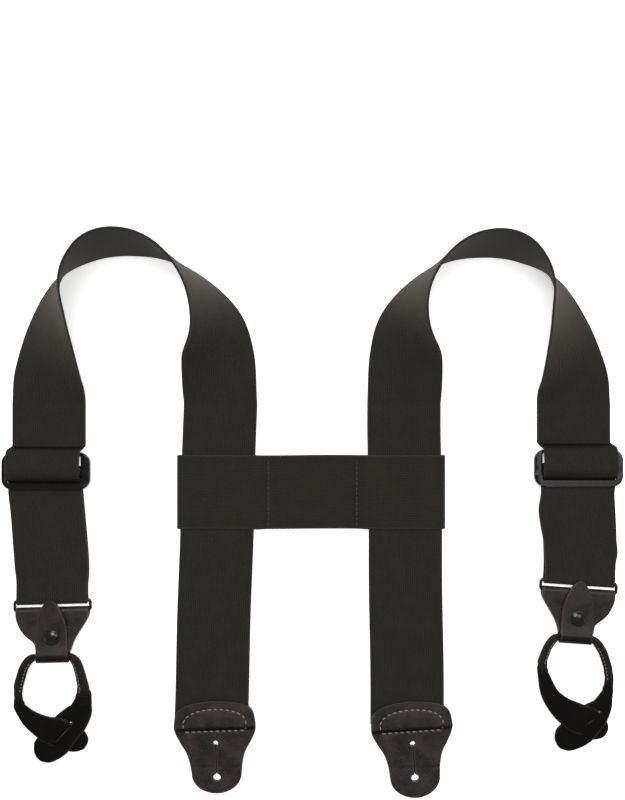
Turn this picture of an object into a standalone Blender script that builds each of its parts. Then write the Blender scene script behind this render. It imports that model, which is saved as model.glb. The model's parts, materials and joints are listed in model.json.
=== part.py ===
"""Button-on H-back suspenders, laid out flat with their outer face up. Metres, +Z up, table at z = 0."""

import math
from dataclasses import dataclass

import bmesh
import bpy
from mathutils import Vector

# Driving dimensions
WEBBING_WIDTH = 0.0508
WEBBING_THICKNESS = 0.0016
BAND_THICKNESS = 0.0014
LEATHER_THICKNESS = 0.0015
LINING_THICKNESS = 0.0012
THREAD_RADIUS = 0.0003
GAP = 0.0003
THREAD_GAP = 0.00015

# Levels above the table
FRONT_LEVEL = WEBBING_THICKNESS / 2
BAND_BACK_LEVEL = BAND_THICKNESS / 2
BACK_LEVEL = BAND_THICKNESS + GAP + WEBBING_THICKNESS / 2
BAND_FRONT_LEVEL = BACK_LEVEL + WEBBING_THICKNESS / 2 + GAP + BAND_THICKNESS / 2
DOUBLE_LEVEL = WEBBING_THICKNESS * 1.5 + 0.00045

# Straps: where the shoulder loops end, and where the webbing ends inside the back tabs
LOOP_END_Y = 0.080
WEBBING_END_Y = -0.1413

# Crosspiece
BAND_LOW_Y = -0.0070
BAND_LEFT_X = -0.09355
BAND_RIGHT_X = 0.0916
SEAM_X = 0.0345
SEAM_LENGTH = 0.046

# Slider
SLIDER_WIDTH = 0.0606
SLIDER_HEIGHT = 0.0255
SLIDER_BAR = 0.0024
SLIDER_SIDE_BAR = 0.0026
SLIDER_THICKNESS = 0.0022
SLIDER_LEVEL = 0.0051
SLIDER_CORNER = 0.0062
RUN_CLEARANCE = 0.0143
HUMP_CLEARANCE = 0.0172

# Wire ring
RING_WIDTH = 0.0542
RING_WIRE_RADIUS = 0.0010
RING_PITCH = 0.0074
RING_CORNER = 0.0022
RING_LEVEL = 0.00305
FOLD_LENGTH = 0.022
FOLD_WIDTH = 0.0484

# Yoke, keeper and rivet: distances from the ring's lower bar, and half widths there
YOKE_OUTLINE = ((0.0, 0.0243), (0.0045, 0.0250), (0.0086, 0.0235), (0.0135, 0.0210), (0.0183, 0.0173),
                (0.0225, 0.0134), (0.0275, 0.0122))
KEEPER_HALF_WIDTH = 0.0112
KEEPER_TIP_REACH = 0.0086
RIVET_DISTANCE = 0.0174
RIVET_RADIUS = 0.0054
RIVET_HEIGHT = 0.0019
POST_RADIUS = 0.0015
ROLL_DISTANCE = 0.0314
ROLL_LEVEL = 0.0041

# Button loop
ROLL_RADIUS = 0.0031
ROLL_NECK_RADIUS = 0.0022
ROLL_WALL = 0.0010
CORE_RADIUS = 0.0016
SLIT_LENGTH = 0.0240
SLIT_LEAD = 0.0045
SLIT_WIDTH = 0.0024
OVER_LEVEL = 0.0048
UNDER_LEVEL = 0.0029
LOBE_LEVEL = 0.00095

# Back tab
TAB_HALF_WIDTH = 0.0277
TAB_TONGUE_HALF_WIDTH = 0.0172
SLOT_WIDTH = 0.0012
SLOT_TOP_RADIUS = 0.0017
SLOT_BOTTOM_RADIUS = 0.00255
KEYHOLE = (-0.0282, -0.0518)
STITCH_INSET = 0.0050
STEP_TOP_Y = -0.0160
STEP_FOOT_Y = -0.0205
STEP_DEPTH = 0.0020
STEP_CUTS = 4


@dataclass
class Loop:
    """A button loop in its own plan, from the middle of its hinge: the rolled legs, then the flat ends.

    Each flat station is x, y and half width. The under end has the slit, and the over end goes through it.
    """
    left_leg: tuple
    right_leg: tuple
    over: tuple
    under: tuple
    slit: tuple
    slit_angle: float
    tip_scale: float
    lobe_scale: float


@dataclass
class Side:
    """Where one side's pieces lie, and how they are turned. sign is -1 on the left and 1 on the right."""
    name: str
    sign: int
    front_x: float
    slider: tuple
    ring: tuple
    front_tilt: float
    loop: Loop
    back_foot: tuple
    back_lean: float
    tab_top: tuple
    tab_tilt: float
    tab_length: float
    shoulder: tuple


LEFT_LOOP = Loop(
    left_leg=((-0.0144, -0.0005), (-0.0172, -0.0022), (-0.0210, -0.0074), (-0.0236, -0.0150),
              (-0.0252, -0.0222), (-0.0252, -0.0276)),
    right_leg=((0.0134, -0.0014), (0.0155, -0.0046), (0.0174, -0.0103), (0.0190, -0.0171),
               (0.0196, -0.0240), (0.0194, -0.0286)),
    over=((-0.0252, -0.0282, 0.0030), (-0.0242, -0.0326, 0.0038), (-0.0219, -0.0368, 0.0048),
          (-0.0179, -0.0412, 0.0061), (-0.0126, -0.0454, 0.0073), (-0.0070, -0.0488, 0.0086)),
    under=((0.0194, -0.0292, 0.0042), (0.0189, -0.0334, 0.0066), (0.0173, -0.0380, 0.0082),
           (0.0143, -0.0420, 0.0096), (0.0102, -0.0468, 0.0106), (0.0039, -0.0532, 0.0112)),
    slit=(0.0039, -0.0532), slit_angle=math.radians(45.3), tip_scale=1.0, lobe_scale=1.0)
RIGHT_LOOP = Loop(
    left_leg=((-0.0136, -0.0010), (-0.0154, -0.0029), (-0.0182, -0.0078), (-0.0200, -0.0134),
              (-0.0209, -0.0200), (-0.0206, -0.0236)),
    right_leg=((0.0138, -0.0012), (0.0160, -0.0032), (0.0198, -0.0084), (0.0228, -0.0154),
               (0.0248, -0.0226), (0.0255, -0.0294)),
    over=((-0.0205, -0.0242, 0.0032), (-0.0192, -0.0298, 0.0045), (-0.0172, -0.0354, 0.0055),
          (-0.0144, -0.0406, 0.0062), (-0.0099, -0.0456, 0.0073), (-0.0045, -0.0498, 0.0086),
          (0.0015, -0.0530, 0.0097)),
    under=((0.0255, -0.0300, 0.0029), (0.0249, -0.0348, 0.0039), (0.0240, -0.0404, 0.0052),
           (0.0220, -0.0462, 0.0072), (0.0183, -0.0516, 0.0096), (0.0130, -0.0573, 0.0110)),
    slit=(0.0130, -0.0573), slit_angle=math.radians(43.0), tip_scale=1.12, lobe_scale=0.85)

# Past the slit: the way along, how far to one side, and the half width there
UNDER_TIP = ((0.0068, 0.0006, 0.0115), (0.0120, 0.0002, 0.0109), (0.0160, -0.0005, 0.0100),
             (0.0190, -0.0014, 0.0087), (0.0212, -0.0020, 0.0068), (0.0227, -0.0027, 0.0041))
OVER_TIP = ((0.0060, 0.0008, 0.0102), (0.0100, 0.0020, 0.0093), (0.0138, 0.0030, 0.0078),
            (0.0165, 0.0035, 0.0058), (0.0182, 0.0037, 0.0036))

# Each shoulder station is the outer edge's x and y and the webbing's lean from flat, in degrees.
SIDES = (
    Side("left", -1, front_x=-0.1826, slider=(-0.1832, 0.0334), ring=(-0.1795, -0.0559),
         front_tilt=math.radians(1.5), loop=LEFT_LOOP,
         back_foot=(-0.0697, -0.1260), back_lean=0.0299,
         tab_top=(-0.0679, -0.1258), tab_tilt=math.radians(2.0), tab_length=0.0636,
         shoulder=((-0.2080, LOOP_END_Y, 0), (-0.2058, 0.104, 14), (-0.1940, 0.1391, 40),
                   (-0.1766, 0.1662, 63), (-0.1509, 0.1794, 92), (-0.1250, 0.1826, 100),
                   (-0.0980, 0.1785, 92), (-0.0711, 0.1634, 75), (-0.0500, 0.1420, 46),
                   (-0.0405, 0.1150, 19))),
    Side("right", 1, front_x=0.1809, slider=(0.1828, 0.0355), ring=(0.1838, -0.0429),
         front_tilt=math.radians(-4.0), loop=RIGHT_LOOP,
         back_foot=(0.0653, -0.1260), back_lean=-0.0103,
         tab_top=(0.0672, -0.1262), tab_tilt=math.radians(4.0), tab_length=0.0664,
         shoulder=((0.2063, LOOP_END_Y, 0), (0.2035, 0.104, 14), (0.1890, 0.1391, 40),
                   (0.1690, 0.1662, 62), (0.1425, 0.1785, 92), (0.1165, 0.1815, 100),
                   (0.0900, 0.1770, 92), (0.0640, 0.1605, 75), (0.0465, 0.1390, 46),
                   (0.0395, 0.1130, 19))),
)

MATERIALS = {
    "webbing": ((0.026, 0.023, 0.020), 0.85, 0.0),
    "band": ((0.027, 0.023, 0.020), 0.85, 0.0),
    "leather": ((0.030, 0.024, 0.021), 0.5, 0.0),
    "lining": ((0.022, 0.018, 0.016), 0.6, 0.0),
    "thread": ((0.30, 0.26, 0.24), 0.7, 0.0),
    "metal": ((0.015, 0.014, 0.014), 0.3, 0.9),
    "cord": ((0.35, 0.30, 0.24), 0.9, 0.0),
}


def clear_scene():
    for obj in list(bpy.data.objects):
        bpy.data.objects.remove(obj)


def new_collection(name):
    collection = bpy.data.collections.new(name)
    bpy.context.scene.collection.children.link(collection)
    return collection


clear_scene()
PARTS = new_collection("suspenders")
CUTTERS = new_collection("cutters")


def material(kind, name):
    """This sub-part's own Principled material, in its kind's colour, roughness and metallic value."""
    colour, roughness, metallic = MATERIALS[kind]
    made = bpy.data.materials.new(f"{name}_{kind}")
    made.use_nodes = True
    shader = made.node_tree.nodes["Principled BSDF"]
    shader.inputs["Base Color"].default_value = (*colour, 1.0)
    shader.inputs["Roughness"].default_value = roughness
    shader.inputs["Metallic"].default_value = metallic
    made.diffuse_color = (*colour, 1.0)
    return made


def pivot(name, location, turn=0.0):
    """An empty on a joint's axis, or at a piece's reference point, turned about Z."""
    empty = bpy.data.objects.new(name, None)
    empty.location = location
    empty.rotation_euler = (0.0, 0.0, turn)
    empty.empty_display_size = 0.01
    PARTS.objects.link(empty)
    return empty


def add_part(name, data, kind, parent=None):
    """Links a sub-part. Its shape is given above the table, so it goes down by its parent's height."""
    obj = bpy.data.objects.new(name, data)
    data.materials.append(material(kind, name))
    if parent:
        obj.parent = parent
        obj.location.z = -parent.location.z
    PARTS.objects.link(obj)
    return obj


def smooth(mesh):
    mesh.shade_smooth()
    mesh.set_sharp_from_angle(angle=math.radians(35))


def ribbon_mesh(name, stations, across=2, cyclic=False):
    """The open surface of a strip. Each station is the pair of points where its two edges are."""
    made = bmesh.new()
    rows = [[made.verts.new(one.lerp(other, i / across)) for i in range(across + 1)]
            for one, other in stations]
    following = rows[1:] + rows[:1] if cyclic else rows[1:]
    for row, after in zip(rows, following):
        for i in range(across):
            made.faces.new((row[i], row[i + 1], after[i + 1], after[i]))
    mesh = bpy.data.meshes.new(name)
    made.to_mesh(mesh)
    made.free()
    smooth(mesh)
    return mesh


def ribbon(name, stations, thickness, kind, parent=None, cyclic=False):
    """A strip of webbing or leather: an open surface given its thickness, half to each side."""
    obj = add_part(name, ribbon_mesh(name, stations, cyclic=cyclic), kind, parent)
    solid = obj.modifiers.new("thickness", "SOLIDIFY")
    solid.thickness = thickness
    solid.offset = 0.0
    solid.use_even_offset = True
    return obj


def level_stations(path, half_width, centre_x=lambda y: 0.0):
    """Stations of a strip that runs along Y: path is (y, z) points, half_width and centre_x depend on y."""
    return [(Vector((centre_x(y) - half_width(y), y, z)), Vector((centre_x(y) + half_width(y), y, z)))
            for y, z in path]


def arc(centre_y, centre_z, radius, start, end, steps=8):
    """Points (y, z) on an arc, with angles in degrees from +Y towards +Z."""
    angles = [math.radians(start + (end - start) * i / steps) for i in range(steps + 1)]
    return [(centre_y + radius * math.cos(a), centre_z + radius * math.sin(a)) for a in angles]


def interpolate(table, at):
    """The value at this place in a short table of (place, value), straight between its rows."""
    for (low, first), (high, second) in zip(table, table[1:]):
        if at <= high:
            share = max(0.0, (at - low) / (high - low))
            return first + (second - first) * share
    return table[-1][1]


def smooth_through(points, steps):
    """Points along a Catmull-Rom curve that goes through these points, with steps of it for each gap."""
    points = [Vector(p) for p in points]
    ends = [points[0] * 2 - points[1]] + points + [points[-1] * 2 - points[-2]]
    found = []
    for before, start, end, after in zip(ends, ends[1:], ends[2:], ends[3:]):
        for i in range(steps):
            t = i / steps
            found.append(0.5 * (2 * start + (end - before) * t
                                + (2 * before - 5 * start + 4 * end - after) * t * t
                                + (3 * start - before - 3 * end + after) * t ** 3))
    return found + [points[-1]]


def across_path(points):
    """Each point's unit direction in plan, to the right of the way along the points."""
    found = []
    for i, _ in enumerate(points):
        way = points[min(i + 1, len(points) - 1)] - points[max(i - 1, 0)]
        found.append(Vector((way.y, -way.x, 0.0)).normalized())
    return found


def outline_curve(name, splines, thickness, level, kind, parent=None):
    """A flat plate from closed outlines in plan: the first is its edge, and the others are holes."""
    curve = bpy.data.curves.new(name, "CURVE")
    curve.dimensions = "2D"
    curve.fill_mode = "BOTH"
    curve.extrude = thickness / 2
    for points in splines:
        spline = curve.splines.new("POLY")
        spline.points.add(len(points) - 1)
        for place, (x, y) in zip(spline.points, points):
            place.co = (x, y, 0.0, 1.0)
        spline.use_cyclic_u = True
    obj = add_part(name, curve, kind, parent)
    obj.location.z += level
    return obj


def wire(name, points, radius, kind, parent=None, cyclic=False, sides=2, scales=None, caps=True):
    """A round wire, thread or roll along points. scales multiplies the radius at each point."""
    curve = bpy.data.curves.new(name, "CURVE")
    curve.dimensions = "3D"
    curve.bevel_depth = radius
    curve.bevel_resolution = sides
    curve.use_fill_caps = caps and not cyclic
    spline = curve.splines.new("POLY")
    spline.points.add(len(points) - 1)
    for i, (place, point) in enumerate(zip(spline.points, points)):
        place.co = (*point, 1.0)
        place.radius = scales[i] if scales else 1.0
    spline.use_cyclic_u = cyclic
    return add_part(name, curve, kind, parent)


def rounded_rectangle(width, height, radius, centre_y=0.0, steps=6):
    """Points (x, y) round a rectangle with round corners."""
    corners = ((1, 1, 0), (-1, 1, 90), (-1, -1, 180), (1, -1, 270))
    found = []
    for side_x, side_y, start in corners:
        middle_x = side_x * (width / 2 - radius)
        middle_y = centre_y + side_y * (height / 2 - radius)
        for i in range(steps + 1):
            angle = math.radians(start + 90 * i / steps)
            found.append((middle_x + radius * math.cos(angle), middle_y + radius * math.sin(angle)))
    return found


def cut(obj, cutter):
    """Cuts the cutter out of the object, and puts it with the hidden helpers."""
    cutter.hide_render = True
    cutter.display_type = "WIRE"
    for collection in list(cutter.users_collection):
        collection.objects.unlink(cutter)
    CUTTERS.objects.link(cutter)
    change = obj.modifiers.new("cut", "BOOLEAN")
    change.operation = "DIFFERENCE"
    change.solver = "EXACT"
    change.object = cutter


def cylinder(name, radius, depth, location, parent, segments=20):
    bpy.ops.mesh.primitive_cylinder_add(vertices=segments, radius=radius, depth=depth, location=location)
    obj = bpy.context.object
    obj.name = name
    obj.parent = parent
    obj.location.z -= parent.location.z
    for collection in list(obj.users_collection):
        collection.objects.unlink(obj)
    return obj


# Straps

def back_x(side, y):
    """The middle of a back leg at this y."""
    return side.back_foot[0] + side.back_lean * (y - side.back_foot[1])


def shoulder_stations(side):
    """Edges of the webbing from the top of the front leg, over the shoulder and down the back leg."""
    back_edge = back_x(side, LOOP_END_Y) - side.sign * WEBBING_WIDTH / 2
    path = smooth_through(side.shoulder + ((back_edge, LOOP_END_Y, 0),), 4)
    inwards = across_path([Vector((p.x, p.y, 0.0)) for p in path])
    stations = []
    for i, (place, inward) in enumerate(zip(path, inwards)):
        lean = math.radians(max(place.z, 0.0))
        along = max(0.0, (i / (len(path) - 1) - 0.75) / 0.25)
        lift = (BACK_LEVEL - FRONT_LEVEL) * along * along * (3 - 2 * along)
        foot = Vector((place.x, place.y, WEBBING_THICKNESS / 2 * abs(math.cos(lean)) + 0.00005 + lift))
        reach = inward * (-side.sign * math.cos(lean)) + Vector((0.0, 0.0, math.sin(lean)))
        stations.append((foot, foot + reach * WEBBING_WIDTH))
    foot = stations[0][0]
    stations[0] = (foot, foot - Vector((side.sign * WEBBING_WIDTH, 0.0, 0.0)))
    leg = Vector((side.back_lean, 1.0, 0.0)).normalized()
    square = Vector((leg.y, -leg.x, 0.0)) * (WEBBING_WIDTH / 2)
    stations.pop()
    for y in (LOOP_END_Y, 0.0, WEBBING_END_Y):
        middle = Vector((back_x(side, y), y, BACK_LEVEL))
        stations.append((middle - side.sign * square, middle + side.sign * square))
    return stations


def build_strap(side):
    name = side.name
    strap = pivot(f"{name}_strap_pivot", (back_x(side, BAND_LOW_Y), BAND_LOW_Y, 0.0))
    shoulder = ribbon(f"{name}_shoulder_strap", shoulder_stations(side), WEBBING_THICKNESS, "webbing")
    shoulder.parent = strap
    shoulder.matrix_parent_inverse.translation = -strap.location
    half = WEBBING_WIDTH / 2
    top = LOOP_END_Y - 2 * GAP
    low = side.slider[1] + HUMP_CLEARANCE + GAP
    run = level_stations([(top, FRONT_LEVEL + 0.00005), (low, FRONT_LEVEL + 0.00005)],
                         lambda y: half, lambda y: side.front_x)
    ribbon(f"{name}_strap_upper_run", run, WEBBING_THICKNESS, "webbing")


# Crosspiece

def build_crosspiece():
    """A flattened loop of webbing round both straps, whose two faces are sewn together between them."""
    bend = (BAND_FRONT_LEVEL - BAND_BACK_LEVEL) / 2
    left = BAND_LEFT_X + BAND_THICKNESS / 2 + bend
    right = BAND_RIGHT_X - BAND_THICKNESS / 2 - bend
    middle_level = BAND_BACK_LEVEL + BAND_THICKNESS + GAP
    dip = (BAND_FRONT_LEVEL - middle_level, 0.004)
    profile = [(left, BAND_BACK_LEVEL), (right, BAND_BACK_LEVEL)]
    profile += arc(right, BACK_LEVEL, bend, -90, 90, 6)[1:]
    seam = SEAM_X
    profile += [(seam + dip[1] / 2, BAND_FRONT_LEVEL), (seam - dip[1] / 2, middle_level),
                (-seam + dip[1] / 2, middle_level), (-seam - dip[1] / 2, BAND_FRONT_LEVEL)]
    profile += arc(left, BACK_LEVEL, bend, 90, 270, 6)[:-1]
    stations = [(Vector((x, BAND_LOW_Y, z)), Vector((x, BAND_LOW_Y + WEBBING_WIDTH + 0.0005, z)))
                for x, z in profile]
    ribbon("crosspiece_band", stations, BAND_THICKNESS, "band", cyclic=True)
    thread_level = middle_level + BAND_THICKNESS / 2 + THREAD_GAP + THREAD_RADIUS
    middle = BAND_LOW_Y + WEBBING_WIDTH / 2
    for name, x in (("left", -SEAM_X + 0.004), ("right", SEAM_X - 0.004)):
        ends = [(x, middle - SEAM_LENGTH / 2, thread_level), (x, middle + SEAM_LENGTH / 2, thread_level)]
        wire(f"crosspiece_seam_{name}", ends, THREAD_RADIUS, "thread")


# Slider and the webbing in it

def build_slider(side):
    name = side.name
    slider = pivot(f"{name}_slider_pivot", (*side.slider, 0.0))
    window = (SLIDER_HEIGHT - 3 * SLIDER_BAR) / 2
    inner = SLIDER_WIDTH - 2 * SLIDER_SIDE_BAR
    offset = (window + SLIDER_BAR) / 2
    outlines = [rounded_rectangle(SLIDER_WIDTH, SLIDER_HEIGHT, SLIDER_CORNER),
                rounded_rectangle(inner, window, 0.0010, offset, 3),
                rounded_rectangle(inner, window, 0.0010, -offset, 3)]
    outline_curve(f"{name}_slider_frame", outlines, SLIDER_THICKNESS, SLIDER_LEVEL, "metal", slider)
    half = WEBBING_WIDTH / 2
    shift = side.front_x - side.slider[0]
    low = FRONT_LEVEL + 0.00005
    loop_radius = math.hypot(SLIDER_BAR, SLIDER_THICKNESS) / 2 + GAP + WEBBING_THICKNESS / 2
    loop = [(-0.0090, low), (-0.0062, low + 0.0002), (-0.0035, low + 0.0008), (-0.0016, low + 0.0013)]
    loop += arc(0.0, SLIDER_LEVEL, loop_radius, -90, 205, 16)
    ribbon(f"{name}_strap_end_loop", level_stations(loop, lambda y: half, lambda y: shift),
           WEBBING_THICKNESS, "webbing", slider)
    hump = [(HUMP_CLEARANCE, low), (0.0158, low + 0.0002), (0.0148, low + 0.0012), (0.0143, 0.0040),
            (0.0140, 0.0062), (0.0130, 0.0073), (0.0108, 0.0080), (0.0075, 0.0088), (0.0040, 0.0095),
            (0.0010, 0.00985), (-0.0020, 0.00965), (-0.0042, 0.0083), (-0.0056, 0.0062),
            (-0.0066, 0.0042), (-0.0078, DOUBLE_LEVEL + 0.0002), (-0.0100, DOUBLE_LEVEL),
            (-RUN_CLEARANCE, DOUBLE_LEVEL)]
    ribbon(f"{name}_strap_over_slider", level_stations(hump, lambda y: half, lambda y: shift),
           WEBBING_THICKNESS, "webbing", slider)
    return slider


def build_lower_runs(side, ring, slider):
    """The two layers of webbing between the slider and the fold round the ring."""
    name = side.name
    half = WEBBING_WIDTH / 2
    bpy.context.view_layer.update()
    layers = (("front", RUN_CLEARANCE + GAP, DOUBLE_LEVEL), ("back", 0.0090 + GAP, FRONT_LEVEL + 0.00005))
    for layer, clearance, level in layers:
        y = side.slider[1] - clearance
        top = (Vector((side.front_x - half, y, level)), Vector((side.front_x + half, y, level)))
        ends = []
        for x in (-half, half):
            end = ring.matrix_world @ Vector((x, FOLD_LENGTH + GAP, 0.0))
            ends.append(Vector((end.x, end.y, level)))
        run = ribbon(f"{name}_strap_lower_{layer}_run", [top, tuple(ends)], WEBBING_THICKNESS, "webbing")
        run.parent = slider
        run.matrix_parent_inverse.translation = -slider.location


# Ring and the webbing folded round it

def build_fold(side, fold):
    radius = RING_WIRE_RADIUS + GAP + WEBBING_THICKNESS / 2
    path = [(FOLD_LENGTH, FRONT_LEVEL + 0.00005), (0.008, FRONT_LEVEL + 0.0001)]
    path += arc(0.0, RING_LEVEL, radius, 270, 90, 12)
    path += [(0.008, DOUBLE_LEVEL + 0.0013), (0.014, DOUBLE_LEVEL + 0.0004), (FOLD_LENGTH, DOUBLE_LEVEL)]

    def half_width(y):
        return interpolate(((0.0, FOLD_WIDTH / 2), (0.012, FOLD_WIDTH / 2), (FOLD_LENGTH, WEBBING_WIDTH / 2)), y)

    ribbon(f"{side.name}_strap_fold", level_stations(path, half_width), WEBBING_THICKNESS, "webbing", fold)


def build_ring(side, ring):
    height = RING_PITCH
    points = [(x, y, RING_LEVEL) for x, y in
              rounded_rectangle(RING_WIDTH - 2 * RING_WIRE_RADIUS, height, RING_CORNER, -height / 2, 4)]
    wire(f"{side.name}_wire_ring", points, RING_WIRE_RADIUS, "metal", ring, cyclic=True)


# Leather yoke, keeper and rivet

def yoke_half_width(y):
    return interpolate(YOKE_OUTLINE, -y)


def build_yoke(side, yoke):
    name = side.name
    half_leather = LEATHER_THICKNESS / 2
    bend = RING_WIRE_RADIUS + GAP + half_leather
    end = -YOKE_OUTLINE[-1][0]
    low_level = 0.00265
    high_level = low_level + LEATHER_THICKNESS + GAP
    steps = (-0.0225, -0.0183, -0.0135)
    path = [(end, low_level)] + [(y, low_level) for y in steps]
    path += [(-0.0095, low_level), (-0.0045, RING_LEVEL - bend + 0.0003)]
    path += arc(0.0, RING_LEVEL, bend, -90, 90, 10)
    path += [(-0.0045, RING_LEVEL + bend - 0.0002), (-0.0095, high_level)]
    path += [(y, high_level) for y in reversed(steps)] + [(end, high_level)]
    body = ribbon(f"{name}_yoke", level_stations(path, yoke_half_width), LEATHER_THICKNESS, "leather", yoke)
    hole = cylinder(f"{name}_yoke_rivet_hole", POST_RADIUS + 0.0004, 0.02,
                    (0.0, -RIVET_DISTANCE, 0.004), yoke)
    cut(body, hole)

    keeper_level = high_level + LEATHER_THICKNESS + GAP
    tip_level = RING_LEVEL + bend + LEATHER_THICKNESS + GAP + 0.00005
    roll_bend = ROLL_NECK_RADIUS + GAP + half_leather
    path = [(-0.0012, tip_level), (-0.0060, tip_level - 0.0003), (-0.0120, keeper_level),
            (-0.0235, keeper_level), (-0.0275, keeper_level + 0.0006)]
    path += arc(-ROLL_DISTANCE, ROLL_LEVEL, roll_bend, 90, 270, 12)
    path += [(-0.0270, half_leather + 0.0001), (-0.0110, half_leather + 0.0001)]

    def keeper_width(y):
        return KEEPER_HALF_WIDTH - 0.0022 * max(0.0, 1.0 + y / 0.016) ** 2

    keeper = ribbon(f"{name}_keeper_tab", level_stations(path, keeper_width),
                    LEATHER_THICKNESS, "leather", yoke)
    cut(keeper, cylinder(f"{name}_keeper_rivet_hole", POST_RADIUS + 0.0004, 0.02,
                         (0.0, -RIVET_DISTANCE, 0.004), yoke))
    tip_shares = (0.0, 0.25, 0.5, 0.75, 0.92, 1.0)
    base = keeper_width(-0.0012)
    tip = []
    for share in tip_shares:
        y = -0.0012 + GAP + (KEEPER_TIP_REACH + 0.0012 - GAP) * share
        half = base * math.sqrt(1 - share ** 2) if share < 1 else 0.0004
        tip.append((Vector((-half, y, tip_level)), Vector((half, y, tip_level))))
    ribbon(f"{name}_keeper_tip", tip, LEATHER_THICKNESS, "leather", yoke)

    cap_base = keeper_level + half_leather + THREAD_GAP
    build_rivet_cap(f"{name}_rivet_cap", cap_base, yoke)
    post_low = 0.0002
    post = cylinder(f"{name}_rivet_post", POST_RADIUS, cap_base - THREAD_GAP - post_low,
                    (0.0, -RIVET_DISTANCE, (cap_base - THREAD_GAP + post_low) / 2), yoke)
    post.data.materials.append(material("metal", post.name))
    PARTS.objects.link(post)


def build_rivet_cap(name, base, parent):
    """A domed cap: its profile, from the top of the dome out and down to the middle below, turned round."""
    profile = bmesh.new()
    points = [(RIVET_RADIUS * math.sin(math.radians(a)), 0.0, RIVET_HEIGHT * math.cos(math.radians(a)) ** 0.8)
              for a in (0, 18, 36, 54, 72, 84)]
    points += [(RIVET_RADIUS, 0.0, 0.0002), (RIVET_RADIUS * 0.97, 0.0, 0.0), (0.0, 0.0, 0.0)]
    verts = [profile.verts.new(p) for p in points]
    for first, second in zip(verts, verts[1:]):
        profile.edges.new((first, second))
    mesh = bpy.data.meshes.new(name)
    profile.to_mesh(mesh)
    profile.free()
    obj = add_part(name, mesh, "metal", parent)
    obj.location.y = -RIVET_DISTANCE
    obj.location.z += base
    turned = obj.modifiers.new("turned", "SCREW")
    turned.steps = turned.render_steps = 24
    turned.use_merge_vertices = True
    turned.merge_threshold = 0.00001
    turned.use_normal_calculate = True
    return obj


# Button loop

def roll_points(side):
    """The roll's middle line: down one leg, straight through the keeper and down the other."""
    neck = ((-0.0120, 0.0), (-0.0050, 0.0), (0.0050, 0.0), (0.0120, 0.0))
    line = tuple(reversed(side.loop.left_leg)) + neck + side.loop.right_leg
    points = []
    scales = []
    for place in smooth_through([(x, y, 0.0) for x, y in line], 2):
        share = min(1.0, max(0.0, (abs(place.x) - 0.0120) / 0.006))
        level = ROLL_LEVEL + (ROLL_RADIUS + 0.0001 - ROLL_LEVEL) * share
        points.append((place.x, min(place.y, 0.0), level))
        scales.append((ROLL_NECK_RADIUS + (ROLL_RADIUS - ROLL_NECK_RADIUS) * share) / ROLL_RADIUS)
    return points, scales


def past_slit(loop, way, sideways, stations, scale):
    """Stations of x, y and half width that carry a flat end on past the slit's middle."""
    return [(loop.slit[0] + (way.x * along + sideways.x * off) * scale,
             loop.slit[1] + (way.y * along + sideways.y * off) * scale, half) for along, off, half in stations]


def flat_strip(stations, level):
    """Stations of a level strip along a curve in plan through these middles."""
    places = smooth_through(stations, 3)
    sideways = across_path([Vector((p.x, p.y, 0.0)) for p in places])
    return [(Vector((p.x, p.y, level)) - s * p.z, Vector((p.x, p.y, level)) + s * p.z)
            for p, s in zip(places, sideways)]


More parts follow.
